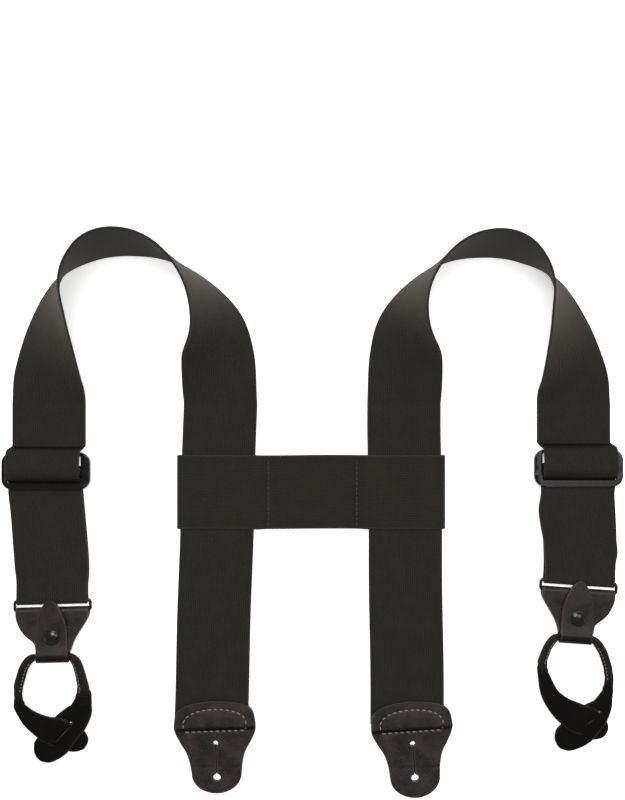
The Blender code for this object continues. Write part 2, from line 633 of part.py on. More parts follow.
def build_button_loop(side, loop):
    """Rolled leather that hangs through the keeper. Its two flat ends cross, one through the other's slit."""
    name = side.name
    points, scales = roll_points(side)
    shell = wire(f"{name}_button_loop_roll", points, ROLL_RADIUS, "leather", loop, scales=scales,
                 caps=False)
    wall = shell.modifiers.new("wall", "SOLIDIFY")
    wall.thickness = ROLL_WALL
    wall.offset = -1.0
    wire(f"{name}_button_loop_core", points, CORE_RADIUS, "cord", loop, scales=scales)

    shape = side.loop
    slit_middle = Vector((*shape.slit, 0.0))
    length_way = Vector((-math.cos(shape.slit_angle), -math.sin(shape.slit_angle), 0.0))
    along = Vector((math.sin(shape.slit_angle), -math.cos(shape.slit_angle), 0.0))
    tip = past_slit(shape, length_way, along, UNDER_TIP, shape.tip_scale)
    under = flat_strip(shape.under + tuple(tip), UNDER_LEVEL)
    plate = ribbon(f"{name}_button_loop_under_end", under, LEATHER_THICKNESS, "leather", loop)
    bpy.ops.mesh.primitive_cube_add(size=1.0)
    slit = bpy.context.object
    slit.name = f"{name}_slit_cutter"
    slit.data.transform(slit.matrix_world)
    for vertex in slit.data.vertices:
        vertex.co = (vertex.co.x * SLIT_LENGTH, vertex.co.y * SLIT_WIDTH, vertex.co.z * 0.02)
    slit.parent = loop
    slit.location = (slit_middle.x, slit_middle.y, 0.0)
    slit.rotation_euler.z = shape.slit_angle
    cut(plate, slit)

    over = flat_strip(shape.over, OVER_LEVEL)
    square = Vector((-along.y, along.x, 0.0))
    drop = [(-SLIT_LEAD, 0.0, OVER_LEVEL, 0.0104), (-0.0014, 0.0, OVER_LEVEL, 0.0106),
            (-0.0005, 0.0, OVER_LEVEL - 0.0003, 0.0106), (0.0, 0.0, OVER_LEVEL - 0.0012, 0.0106),
            (0.0, 0.0, LOBE_LEVEL + 0.0012, 0.0106), (0.0005, 0.0, LOBE_LEVEL + 0.0003, 0.0106),
            (0.0014, 0.0, LOBE_LEVEL, 0.0106)]
    drop += [(way * shape.lobe_scale, off * shape.lobe_scale, LOBE_LEVEL, half) for way, off, half in OVER_TIP]
    for distance, off, level, half in drop:
        middle = slit_middle + along * distance + square * off
        middle.z = level
        over.append((middle - square * half, middle + square * half))
    if (over[0][1] - over[0][0]).dot(over[-1][1] - over[-1][0]) < 0:
        over[-len(drop):] = [(b, a) for a, b in over[-len(drop):]]
    ribbon(f"{name}_button_loop_over_end", over, LEATHER_THICKNESS, "leather", loop)

    for leg, sign, line in (("left", -1, shape.left_leg), ("right", 1, shape.right_leg)):
        inset = ROLL_RADIUS + THREAD_GAP + THREAD_RADIUS + 0.0007
        stitch = [(x - sign * inset, y - 0.0002, ROLL_RADIUS) for x, y in line[2:]]
        wire(f"{name}_button_loop_thread_{leg}", stitch, THREAD_RADIUS, "thread", loop)


# Back tabs

def tab_outline(side, inset=0.0):
    """One half of the tab down its side, then the other half up: square shoulders, waist and round tongue."""
    length = side.tab_length
    wide = TAB_HALF_WIDTH - inset
    tongue = TAB_TONGUE_HALF_WIDTH - inset
    half = [(0.0110, -inset), (0.0200, -0.0016 - inset), (wide - 0.0012, -0.0058 - inset), (wide, -0.0110),
            (wide - 0.0002, -0.0215), (wide - 0.0042, -0.0295), (tongue + 0.0020, -0.0365),
            (tongue + 0.0008, -0.0440), (tongue, -0.0500 * length / 0.0636)]
    half = [(p.x, p.y) for p in smooth_through([(x, y, 0.0) for x, y in half], 3)]
    tip_y = half[-1][1]
    drop = length - inset + tip_y
    for i in range(1, 9):
        angle = math.radians(90 * i / 8)
        half.append((tongue * math.cos(angle), tip_y - drop * math.sin(angle)))
    return half[:-1] + [(0.0, half[-1][1])] + [(-x, y) for x, y in reversed(half[:-1])]


def keyhole(top_y, bottom_y, widen=0.0):
    """A buttonhole: a small round end, a narrow slit and a larger round end below."""
    slot = SLOT_WIDTH / 2 + widen
    found = []
    for centre, radius, start in ((top_y, SLOT_TOP_RADIUS + widen, 0), (bottom_y, SLOT_BOTTOM_RADIUS + widen, 180)):
        neck = math.degrees(math.asin(slot / radius))
        for i in range(11):
            angle = math.radians(start - 90 + neck + (360 - 2 * neck) * i / 10)
            found.append((radius * math.cos(angle), centre + radius * math.sin(angle)))
    return found


def step_down(y):
    """How far the outer leather is down at this y: it steps down past the webbing's end to the lining."""
    share = min(1.0, max(0.0, (STEP_TOP_Y - y) / (STEP_TOP_Y - STEP_FOOT_Y)))
    return STEP_DEPTH * share * share * (3 - 2 * share)


def stepped(obj):
    """Turns a flat plate into a mesh that steps down, cut across where it bends."""
    bpy.context.view_layer.update()
    made = bmesh.new()
    made.from_mesh(bpy.data.meshes.new_from_object(obj))
    bmesh.ops.remove_doubles(made, verts=made.verts, dist=0.000005)
    for i in range(STEP_CUTS + 1):
        y = STEP_TOP_Y + (STEP_FOOT_Y - STEP_TOP_Y) * i / STEP_CUTS
        bmesh.ops.bisect_plane(made, geom=made.verts[:] + made.edges[:] + made.faces[:], dist=0.000001,
                               plane_co=(0.0, y, 0.0), plane_no=(0.0, 1.0, 0.0))
    for vertex in made.verts:
        vertex.co.z -= step_down(vertex.co.y)
    mesh = bpy.data.meshes.new(obj.name)
    made.to_mesh(mesh)
    made.free()
    smooth(mesh)
    name, place, parent = obj.name, obj.location.copy(), obj.parent
    mesh.materials.append(obj.data.materials[0])
    bpy.data.objects.remove(obj)
    plate = bpy.data.objects.new(name, mesh)
    plate.parent = parent
    plate.location = place
    PARTS.objects.link(plate)


def build_back_tab(side):
    name = side.name
    tab = pivot(f"{name}_back_tab_pivot", (*side.tab_top, 0.0), side.tab_tilt)
    outer_level = BACK_LEVEL + WEBBING_THICKNESS / 2 + GAP + LEATHER_THICKNESS / 2
    stepped(outline_curve(f"{name}_back_tab_outer", [tab_outline(side), keyhole(*KEYHOLE)],
                          LEATHER_THICKNESS, outer_level, "leather", tab))
    lining_level = LINING_THICKNESS / 2 + 0.0001
    outline_curve(f"{name}_back_tab_lining", [tab_outline(side, 0.0006), keyhole(*KEYHOLE, 0.0003)],
                  LINING_THICKNESS, lining_level, "lining", tab)
    level = outer_level + LEATHER_THICKNESS / 2 + THREAD_GAP + THREAD_RADIUS
    half = TAB_HALF_WIDTH - STITCH_INSET
    points = [(half * math.cos(math.radians(a)), -0.0150 + 0.0102 * math.sin(math.radians(a)) ** 0.7)
              for a in range(0, 181, 15)]
    points += [(-half, STEP_TOP_Y), (-half, -0.0180), (-half, STEP_FOOT_Y), (half, STEP_FOOT_Y),
               (half, -0.0180), (half, STEP_TOP_Y)]
    wire(f"{name}_back_tab_stitching", [(x, y, level - step_down(y)) for x, y in points],
         THREAD_RADIUS, "thread", tab, cyclic=True)


def build_side(side):
    build_strap(side)
    slider = build_slider(side)
    fold = pivot(f"{side.name}_fold_pivot", (*side.ring, RING_LEVEL), side.front_tilt)
    build_fold(side, fold)
    ring = pivot(f"{side.name}_ring_pivot", (*side.ring, RING_LEVEL), side.front_tilt)
    build_ring(side, ring)
    build_lower_runs(side, ring, slider)
    south = Vector((math.sin(side.front_tilt), -math.cos(side.front_tilt), 0.0))
    bar = Vector((*side.ring, RING_LEVEL)) + south * RING_PITCH
    yoke = pivot(f"{side.name}_yoke_pivot", bar, side.front_tilt)
    build_yoke(side, yoke)
    neck = bar + south * ROLL_DISTANCE
    neck.z = ROLL_LEVEL
    loop = pivot(f"{side.name}_button_loop_pivot", neck, side.front_tilt)
    build_button_loop(side, loop)
    build_back_tab(side)


build_crosspiece()
for one_side in SIDES:
    build_side(one_side)
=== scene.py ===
import json
import math
import random
from functools import reduce

import bmesh
import bpy
import numpy as np
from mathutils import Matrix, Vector


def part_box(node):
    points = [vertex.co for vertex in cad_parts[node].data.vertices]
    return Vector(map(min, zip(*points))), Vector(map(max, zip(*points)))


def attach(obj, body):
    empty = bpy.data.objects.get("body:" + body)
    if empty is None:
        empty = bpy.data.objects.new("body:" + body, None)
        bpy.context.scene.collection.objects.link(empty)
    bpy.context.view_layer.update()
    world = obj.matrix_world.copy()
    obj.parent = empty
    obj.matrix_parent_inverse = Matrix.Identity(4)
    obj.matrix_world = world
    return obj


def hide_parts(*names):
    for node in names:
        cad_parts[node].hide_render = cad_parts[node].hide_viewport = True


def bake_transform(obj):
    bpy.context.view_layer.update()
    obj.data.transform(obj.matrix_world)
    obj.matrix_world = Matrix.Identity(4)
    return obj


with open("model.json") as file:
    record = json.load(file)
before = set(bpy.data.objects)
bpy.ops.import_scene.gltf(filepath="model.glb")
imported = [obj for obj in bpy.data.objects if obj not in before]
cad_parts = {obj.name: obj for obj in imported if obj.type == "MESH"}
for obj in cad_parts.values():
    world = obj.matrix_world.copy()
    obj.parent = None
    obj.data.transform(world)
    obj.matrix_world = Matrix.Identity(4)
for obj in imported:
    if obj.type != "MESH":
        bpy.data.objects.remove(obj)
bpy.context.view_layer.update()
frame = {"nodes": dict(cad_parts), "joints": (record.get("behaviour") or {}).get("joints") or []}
RNG = random.Random(11)

# Sizes that repeat the CAD's
WEBBING_WIDTH = 0.0508
WEBBING_THICKNESS = 0.0016
BAND_THICKNESS = 0.0014
LEATHER_THICKNESS = 0.0015
LINING_THICKNESS = 0.0012
FLAT = LEATHER_THICKNESS / 2
GAP = 0.0003
FRONT_LEVEL = 0.00085
BACK_LEVEL = 0.0025
DOUBLE_LEVEL = 0.00285
LOOP_END_Y = 0.080
WEBBING_END_Y = -0.1413
RING_LEVEL = 0.00305
RING_WIRE_RADIUS = 0.0010
RING_PITCH = 0.0074
YOKE_LEVEL = 0.00265
FOLD_LENGTH = 0.022
ROLL_DISTANCE = 0.0314
ROLL_LEVEL = 0.0041
STEP_TOP_Y = -0.0174
STEP_FOOT_Y = -0.0205
STEP_DEPTH = 0.0020

# Each shoulder station is the outer edge's x and y and the webbing's lean from flat, in degrees.
SHOULDERS = {
    "left": ((-0.2080, LOOP_END_Y, 0), (-0.2058, 0.104, 11), (-0.1940, 0.1391, 40), (-0.1766, 0.1662, 63),
             (-0.1509, 0.1794, 92), (-0.1250, 0.1826, 100), (-0.0980, 0.1785, 92), (-0.0711, 0.1634, 75),
             (-0.0500, 0.1420, 46), (-0.0405, 0.1150, 19)),
    "right": ((0.2063, LOOP_END_Y, 0), (0.2035, 0.104, 11), (0.1890, 0.1391, 40), (0.1690, 0.1662, 62),
              (0.1425, 0.1785, 92), (0.1165, 0.1815, 100), (0.0900, 0.1770, 92), (0.0640, 0.1605, 75),
              (0.0465, 0.1390, 46), (0.0395, 0.1130, 19)),
}
BACK_FOOT = {"left": (-0.0697, -0.1260), "right": (0.0653, -0.1260)}
TAB_TOP = {"left": (-0.0679, -0.1258), "right": (0.0672, -0.1262)}
TAB_TILT = {"left": math.radians(2.0), "right": math.radians(4.0)}
TAB_LENGTH = {"left": 0.0636, "right": 0.0664}
SIGN = {"left": -1, "right": 1}
OUTER_BAR = {"left": 0.0032, "right": 0.0040}


# Camera: straight above the object, level with the photograph's middle

camera_data = bpy.data.cameras.new("camera")
camera_data.lens = 33.7
camera_data.sensor_width = 36
camera = bpy.data.objects.new("camera", camera_data)
camera.location = (0.0, 0.0822, 0.520)
bpy.context.scene.collection.objects.link(camera)
bpy.context.scene.camera = camera


# Shape helpers

def unit(v):
    return v / np.maximum(np.linalg.norm(v, axis=-1, keepdims=True), 1e-12)


def curve_through(points, spacing=None, steps=None, alpha=0.5):
    """Rows on a Catmull-Rom curve through these rows: steps for each gap, or about spacing apart."""
    p = np.array(points, float)
    p = np.vstack([2 * p[0] - p[1], p, 2 * p[-1] - p[-2]])
    found = []
    for a, b, c, d in zip(p, p[1:], p[2:], p[3:]):
        gaps = [max(float(np.linalg.norm(j - i)), 1e-9) for i, j in ((a, b), (b, c), (c, d))]
        t1 = gaps[0] ** alpha
        t2 = t1 + gaps[1] ** alpha
        t3 = t2 + gaps[2] ** alpha
        count = steps or max(1, math.ceil(gaps[1] / spacing))
        for k in range(count):
            t = t1 + (t2 - t1) * k / count
            a1 = (t1 - t) / t1 * a + t / t1 * b
            a2 = (t2 - t) / (t2 - t1) * b + (t - t1) / (t2 - t1) * c
            a3 = (t3 - t) / (t3 - t2) * c + (t - t2) / (t3 - t2) * d
            b1 = (t2 - t) / t2 * a1 + t / t2 * a2
            b2 = (t3 - t) / (t3 - t1) * a2 + (t - t1) / (t3 - t1) * a3
            found.append((t2 - t) / (t2 - t1) * b1 + (t - t1) / (t2 - t1) * b2)
    return np.array(found + [p[-2]])


def between(table, at):
    """The value at this place in a short table of (place, value)."""
    places, values = zip(*table)
    return float(np.interp(at, places, values))


def ease(t):
    t = min(1.0, max(0.0, t))
    return t * t * (3 - 2 * t)


def ways(points, closed=False):
    """The unit direction along the points at each of them."""
    if closed:
        return unit(unit(np.roll(points, -1, 0) - points) + unit(points - np.roll(points, 1, 0)))
    steps = unit(np.diff(points, axis=0))
    return unit(np.vstack([steps[:1], steps[:-1] + steps[1:], steps[-1:]]))


def arc(x, y, radius, start, stop):
    """Points on an arc, one every 15 degrees from start to stop."""
    return [(x + radius * math.cos(a), y + radius * math.sin(a))
            for a in np.radians(np.arange(start, stop + 1, 15))]


def paint(mesh, name, values):
    """Stores a value at each point, for the materials to read."""
    layer = mesh.attributes.new(name, "FLOAT", "POINT")
    layer.data.foreach_set("value", np.asarray(values, np.float32).ravel())


def finish_mesh(name, mesh, material, sharp=42):
    made = bmesh.new()
    made.from_mesh(mesh)
    bmesh.ops.recalc_face_normals(made, faces=made.faces)
    made.to_mesh(mesh)
    made.free()
    mesh.shade_smooth()
    mesh.set_sharp_from_angle(angle=math.radians(sharp))
    mesh.materials.clear()
    mesh.materials.append(material)
    obj = bpy.data.objects.new(name, mesh)
    bpy.context.scene.collection.objects.link(obj)
    return obj


def sweep(name, rings, material, closed=False, wear=None, sharp=42, tone=None):
    """A closed skin over rings of points. UVs are metres round each ring and along the rings."""
    rings = np.array(rings, float)
    n, m = rings.shape[:2]
    around = np.linalg.norm(np.diff(np.concatenate([rings, rings[:, :1]], axis=1), axis=1), axis=2)
    around = np.concatenate([np.zeros((n, 1)), np.cumsum(around, axis=1)], axis=1)
    middles = rings.mean(axis=1)
    middles = np.vstack([middles, middles[:1]]) if closed else middles
    along = np.concatenate([[0.0], np.cumsum(np.linalg.norm(np.diff(middles, axis=0), axis=1))])
    faces, uvs = [], []
    for i in range(n if closed else n - 1):
        k = (i + 1) % n
        for j in range(m):
            faces.append((i * m + j, i * m + (j + 1) % m, k * m + (j + 1) % m, k * m + j))
            uvs += [(around[i, j], along[i]), (around[i, j + 1], along[i]),
                    (around[k, j + 1], along[i + 1]), (around[k, j], along[i + 1])]
    if not closed:
        for i in (0, n - 1):
            faces.append(tuple(i * m + j for j in range(m)))
            uvs += [(around[i, j], along[i]) for j in range(m)]
    mesh = bpy.data.meshes.new(name)
    mesh.from_pydata([tuple(p) for p in rings.reshape(-1, 3)], [], faces)
    mesh.uv_layers.new(name="UVMap").data.foreach_set("uv", np.array(uvs).ravel())
    paint(mesh, "wear", np.broadcast_to(0.0 if wear is None else wear, (n, m)))
    paint(mesh, "tone", np.repeat(np.zeros(n) if tone is None else tone, m))
    return finish_mesh(name, mesh, material, sharp)


def strip(name, stations, thickness, material, across=16, bead=0.0, closed=False, edge=0.00045, tone=None):
    """A flat strip with rounded edges. Each station is the pair of points where its two edges are.

    A bead raises the selvedge beside each edge, with a shallow groove inside it.
    """
    a = np.array([s[0] for s in stations], float)
    b = np.array([s[1] for s in stations], float)
    wide = np.linalg.norm(b - a, axis=1, keepdims=True)
    side = unit(b - a)
    up = unit(np.cross(ways((a + b) / 2, closed), side))
    half = thickness / 2
    turn = np.radians(np.arange(-90, -271, -36))
    shares = set(np.linspace(0.0, 1.0, across + 1)[1:-1])
    if bead:
        shares |= {0.012, 0.026, 0.04, 0.055, 0.945, 0.96, 0.974, 0.988}
    rings, worn = [], []

    def add(s, h, wear):
        rings.append(a + side * s + up * h)
        worn.append(wear)

    def surface(share, way_up):
        inset = edge + (wide - 2 * edge) * share
        near = np.minimum(inset, wide - inset)
        ridge = np.exp(-((near - 0.0009) / 0.0006) ** 2)
        groove = np.exp(-((near - 0.0024) / 0.0005) ** 2)
        add(inset, way_up * (half + bead * (ridge - 0.6 * groove)), np.exp(-(near / 0.0014) ** 2)[:, 0])

    for angle in turn:
        add(edge + edge * np.cos(angle), half * np.sin(angle), np.ones(len(a)))
    for share in sorted(shares):
        surface(share, 1)
    for angle in turn[::-1]:
        add(wide - edge - edge * np.cos(angle), half * np.sin(angle), np.ones(len(a)))
    for share in sorted(shares, reverse=True):
        surface(share, -1)
    return sweep(name, np.stack(rings, axis=1), material, closed, np.stack(worn, axis=1), tone=tone)


def local(origin, turn):
    """Turns a point of a piece's own plan, with its height above the table, into the row frame."""
    c, s = math.cos(turn), math.sin(turn)
    return lambda x, y, z: np.array((origin[0] + c * x - s * y, origin[1] + s * x + c * y, z))


def rounded_rectangle(width, height, radius, centre_y=0.0, steps=10):
    found = []
    for side_x, side_y, start in ((1, 1, 0), (-1, 1, 90), (-1, -1, 180), (1, -1, 270)):
        for i in range(steps + 1):
            angle = math.radians(start + 90 * i / steps)
            found.append((side_x * (width / 2 - radius) + radius * math.cos(angle),
                          centre_y + side_y * (height / 2 - radius) + radius * math.sin(angle)))
    return found


def plate(name, outlines, thickness, place, level, material, cell, bevel, rise=None, tone=None):
    """A plate from closed outlines in plan, cut into small cells, rounded at its rims and shaped by rise."""
    curve = bpy.data.curves.new(name, "CURVE")
    curve.dimensions = "2D"
    curve.fill_mode = "BOTH"
    for points in outlines:
        spline = curve.splines.new("POLY")
        spline.points.add(len(points) - 1)
        for spot, (x, y) in zip(spline.points, points):
            spot.co = (x, y, 0.0, 1.0)
        spline.use_cyclic_u = True
    helper = bpy.data.objects.new(name + "_flat", curve)
    bpy.context.scene.collection.objects.link(helper)
    bpy.context.view_layer.update()
    flat = bpy.data.meshes.new_from_object(helper.evaluated_get(bpy.context.evaluated_depsgraph_get()))
    bpy.data.objects.remove(helper)
    made = bmesh.new()
    made.from_mesh(flat)
    bmesh.ops.remove_doubles(made, verts=made.verts, dist=2e-6)
    xs, ys = zip(*outlines[0])
    for axis, low, high in ((0, min(xs), max(xs)), (1, min(ys), max(ys))):
        count = int((high - low) / cell)
        for i in range(1, count):
            spot, normal = [0.0, 0.0, 0.0], [0.0, 0.0, 0.0]
            spot[axis] = low + (high - low) * i / count
            normal[axis] = 1.0
            bmesh.ops.bisect_plane(made, geom=made.verts[:] + made.edges[:] + made.faces[:], dist=1e-6,
                                   plane_co=spot, plane_no=normal)
    made.to_mesh(flat)
    made.free()
    helper = bpy.data.objects.new(name + "_thick", flat)
    bpy.context.scene.collection.objects.link(helper)
    solid = helper.modifiers.new("thickness", "SOLIDIFY")
    solid.thickness = thickness
    solid.offset = 0.0
    rim = helper.modifiers.new("rim", "BEVEL")
    rim.width = bevel
    rim.segments = 3
    rim.limit_method = "ANGLE"
    rim.angle_limit = math.radians(60)
    bpy.context.view_layer.update()
    mesh = bpy.data.meshes.new_from_object(helper.evaluated_get(bpy.context.evaluated_depsgraph_get()))
    bpy.data.objects.remove(helper)
    co = np.array([v.co for v in mesh.vertices], float)
    corners = np.zeros(len(mesh.loops), np.int32)
    mesh.loops.foreach_get("vertex_index", corners)
    while mesh.uv_layers:
        mesh.uv_layers.remove(mesh.uv_layers[0])
    mesh.uv_layers.new(name="UVMap").data.foreach_set("uv", co[corners][:, :2].ravel())
    near = np.min([distance_to(co[:, :2], points) for points in outlines], axis=0)
    paint(mesh, "wear", np.exp(-(near / 0.0010) ** 2))
    if tone is not None:
        paint(mesh, "tone", tone(co[:, 0], co[:, 1]))
    if rise is not None:
        co[:, 2] += rise(co[:, 0], co[:, 1], co[:, 2] > 0)
    for vertex, (x, y, z) in zip(mesh.vertices, co):
        vertex.co = place(x, y, level + z)
    return finish_mesh(name, mesh, material)


def distance_to(co, points, closed=True):
    """How far each point in plan is from a line through these points."""
    ends = np.array(points, float)[:, :2]
    starts, stops = (ends, np.roll(ends, -1, 0)) if closed else (ends[:-1], ends[1:])
    found = np.full(len(co), 1e9)
    for one, other in zip(starts, stops):
        step = other - one
        share = np.clip((co - one) @ step / max(step @ step, 1e-15), 0, 1)
        found = np.minimum(found, np.linalg.norm(co - one - share[:, None] * step, axis=1))
    return found


def stitches(name, path, material, length, gap, radius):
    """A row of separate stitches along a path. Each is a short thread whose ends go into the material."""
    path = np.array(path, float)
    lengths = np.concatenate([[0.0], np.cumsum(np.linalg.norm(np.diff(path, axis=0), axis=1))])
    count = max(1, int((lengths[-1] + gap) / (length + gap)))
    sides, rings_each, slant = 8, 9, 0.10
    verts, faces, uvs = [], [], []

    def at(s):
        return np.array([np.interp(s, lengths, path[:, k]) for k in range(3)])

    for i in range(count):
        start = i * (length + gap) + RNG.uniform(-0.06, 0.06) * gap
        span = length * RNG.uniform(0.93, 1.05)
        lean = slant * span * RNG.uniform(0.5, 1.5)
        way = unit(at(start + span) - at(start))
        out = unit(np.array((0.0, 0.0, 1.0)) - way * way[2])
        side = np.cross(way, out)
        base = len(verts)
        for k in range(rings_each):
            share = k / (rings_each - 1)
            middle = at(start + span * share) + side * lean * (share - 0.5)
            middle = middle + out * radius * (1.5 * math.sin(math.pi * share) ** 0.55 - 0.9)
            thick = radius * (0.72 + 0.34 * math.sin(math.pi * share))
            for j in range(sides):
                angle = 2 * math.pi * j / sides
                verts.append(middle + (side * math.cos(angle) * 1.12 + out * math.sin(angle) * 0.9) * thick)
        for k in range(rings_each - 1):
            for j in range(sides):
                one, two = base + k * sides + j, base + k * sides + (j + 1) % sides
                faces.append((one, two, two + sides, one + sides))
                u, v = radius * 6 * j / sides, start + span * k / (rings_each - 1)
                du, dv = radius * 6 / sides, span / (rings_each - 1)
                uvs += [(u, v), (u + du, v), (u + du, v + dv), (u, v + dv)]
        for first in (base, base + (rings_each - 1) * sides):
            faces.append(tuple(range(first, first + sides)))
            uvs += [(0.0, start)] * sides
    mesh = bpy.data.meshes.new(name)
    mesh.from_pydata([tuple(v) for v in verts], [], faces)
    mesh.uv_layers.new(name="UVMap").data.foreach_set("uv", np.array(uvs).ravel())
    return finish_mesh(name, mesh, material, 80)


# Materials

class Nodes:
    """A node material, built one node at a time."""

    def __init__(self, name):
        self.material = bpy.data.materials.new(name)
        self.material.use_nodes = True
        self.tree = self.material.node_tree
        self.shader = self.tree.nodes["Principled BSDF"]

    def node(self, kind, inputs=(), **settings):
        made = self.tree.nodes.new(kind)
        for key, value in settings.items():
            setattr(made, key, value)
        for key, value in dict(inputs).items():
            self.put(made.inputs[key], value)
        return made

    def put(self, socket, value):
        if isinstance(value, bpy.types.NodeSocket):
            self.tree.links.new(value, socket)
        else:
            socket.default_value = value

    def math(self, operation, *values):
        return self.node("ShaderNodeMath", dict(enumerate(values)), operation=operation).outputs[0]

    def plus(self, *values):
        return reduce(lambda a, b: self.math("ADD", a, b), values)

    def times(self, *values):
        return reduce(lambda a, b: self.math("MULTIPLY", a, b), values)

    def attribute(self, name):
        return self.node("ShaderNodeAttribute", attribute_name=name).outputs["Fac"]

    def uv(self):
        place = self.node("ShaderNodeUVMap", uv_map="UVMap").outputs[0]
        split = self.node("ShaderNodeSeparateXYZ", {0: place})
        return split.outputs[0], split.outputs[1]

    def point(self, x, y, z=0.0):
        return self.node("ShaderNodeCombineXYZ", {0: x, 1: y, 2: z}).outputs[0]

    def noise(self, scale, detail=2.0, rough=0.5, vector=None):
        place = vector or self.node("ShaderNodeUVMap", uv_map="UVMap").outputs[0]
        return self.node("ShaderNodeTexNoise", {"Vector": place, "Scale": scale, "Detail": detail,
                                                "Roughness": rough}).outputs["Fac"]

    def ramp(self, value, low, high, to_low, to_high):
        return self.node("ShaderNodeMapRange", {0: value, 1: low, 2: high, 3: to_low, 4: to_high},
                         interpolation_type="SMOOTHSTEP").outputs[0]

    def mix(self, share, one, other, blend="MIX"):
        made = self.node("ShaderNodeMix", data_type="RGBA", blend_type=blend)
        self.put(made.inputs[0], share)
        self.put(made.inputs[6], one)
        self.put(made.inputs[7], other)
        return made.outputs[2]

    def bump(self, height, distance, strength):
        sizes = {"Height": height, "Distance": distance, "Strength": strength}
        return self.node("ShaderNodeBump", sizes).outputs[0]

    def finish(self, **sockets):
        for key, value in sockets.items():
            self.put(self.shader.inputs[key.replace("_", " ")], value)
        return self.material


def rgb(r, g, b):
    return (r, g, b, 1.0)


def scaled(colour, share):
    return rgb(*(c * share for c in colour))


def webbing_material(name, dark, light, fibre, column=0.00127, pick=0.00095, rib=0.55):
    """Elastic webbing: columns of slanted stitches that turn at each column, and loose bright fibres."""
    n = Nodes(name)
    u, v = n.uv()
    columns = n.math("DIVIDE", u, column)
    inside = n.math("SUBTRACT", n.math("FRACT", columns), 0.5)
    odd = n.times(n.math("FRACT", n.times(n.math("FLOOR", columns), 0.5)), 2.0)
    turn = n.math("SUBTRACT", n.times(odd, 2.0), 1.0)
    slanted = n.plus(n.math("DIVIDE", v, pick), n.times(turn, inside, 1.1))
    ply = n.math("MULTIPLY_ADD", n.math("SINE", n.times(slanted, 2 * math.pi)), 0.5, 0.5)
    crown = n.math("SUBTRACT", 1.0, n.times(inside, inside, 4.0))
    stitch = n.times(crown, n.math("MULTIPLY_ADD", ply, rib, 1.0 - rib))
    fuzz = n.noise(5200.0, 3.0, 0.7)
    drift = n.noise(55.0, 3.0, 0.6)
    streak = n.noise(1.0, 2.0, 0.6, n.point(n.times(u, 1500.0), n.times(v, 90.0)))
    mottle = n.noise(640.0, 2.0, 0.6)
    shade = n.plus(n.times(stitch, 0.46), n.times(fuzz, 0.26), n.times(streak, 0.22), n.times(mottle, 0.34))
    colour = n.mix(n.ramp(shade, 0.42, 0.98, 0.0, 1.0), rgb(*dark), rgb(*light))
    tint = n.ramp(n.noise(48.0, 2.0, 0.5), 0.38, 0.62, 0.0, 1.0)
    cast = n.mix(tint, rgb(0.93, 1.0, 0.92), rgb(1.07, 0.99, 0.98))
    colour = n.mix(1.0, colour, cast, "MULTIPLY")
    colour = n.mix(n.ramp(drift, 0.40, 0.80, 0.0, 0.22), colour, scaled(light, 1.25))
    # Painted shade: where the tone attribute is high the colour goes near black, and below the shine and sheen
    # fall away
    shadowed = n.attribute("tone")
    colour = n.mix(n.times(shadowed, 0.85), colour, scaled(dark, 0.25))
    specks = n.node("ShaderNodeTexVoronoi", {"Vector": n.point(u, v), "Scale": 620.0}, feature="F1")
    speck = n.ramp(specks.outputs["Distance"], 0.0, 0.13, 1.0, 0.0)
    chosen = n.ramp(n.noise(240.0, 1.0, 0.5), 0.52, 0.64, 0.0, 0.95)
    colour = n.mix(n.times(speck, chosen), colour, rgb(*fibre))
    rubbed = n.times(n.ramp(n.attribute("wear"), 0.2, 1.0, 0.0, 0.32), n.ramp(fuzz, 0.3, 0.7, 0.4, 1.0))
    colour = n.mix(rubbed, colour, scaled(light, 1.9))
    height = n.plus(n.times(stitch, 0.8), n.times(fuzz, 0.45))
    return n.finish(Base_Color=colour, Roughness=n.ramp(fuzz, 0.2, 0.8, 0.78, 0.95),
                    Normal=n.bump(height, 0.00022, 0.9), Sheen_Roughness=0.45,
                    Specular_IOR_Level=n.ramp(shadowed, 0.0, 1.0, 0.22, 0.05),
                    Sheen_Weight=n.ramp(shadowed, 0.0, 1.0, 0.16, 0.02), Sheen_Tint=rgb(0.62, 0.52, 0.45))


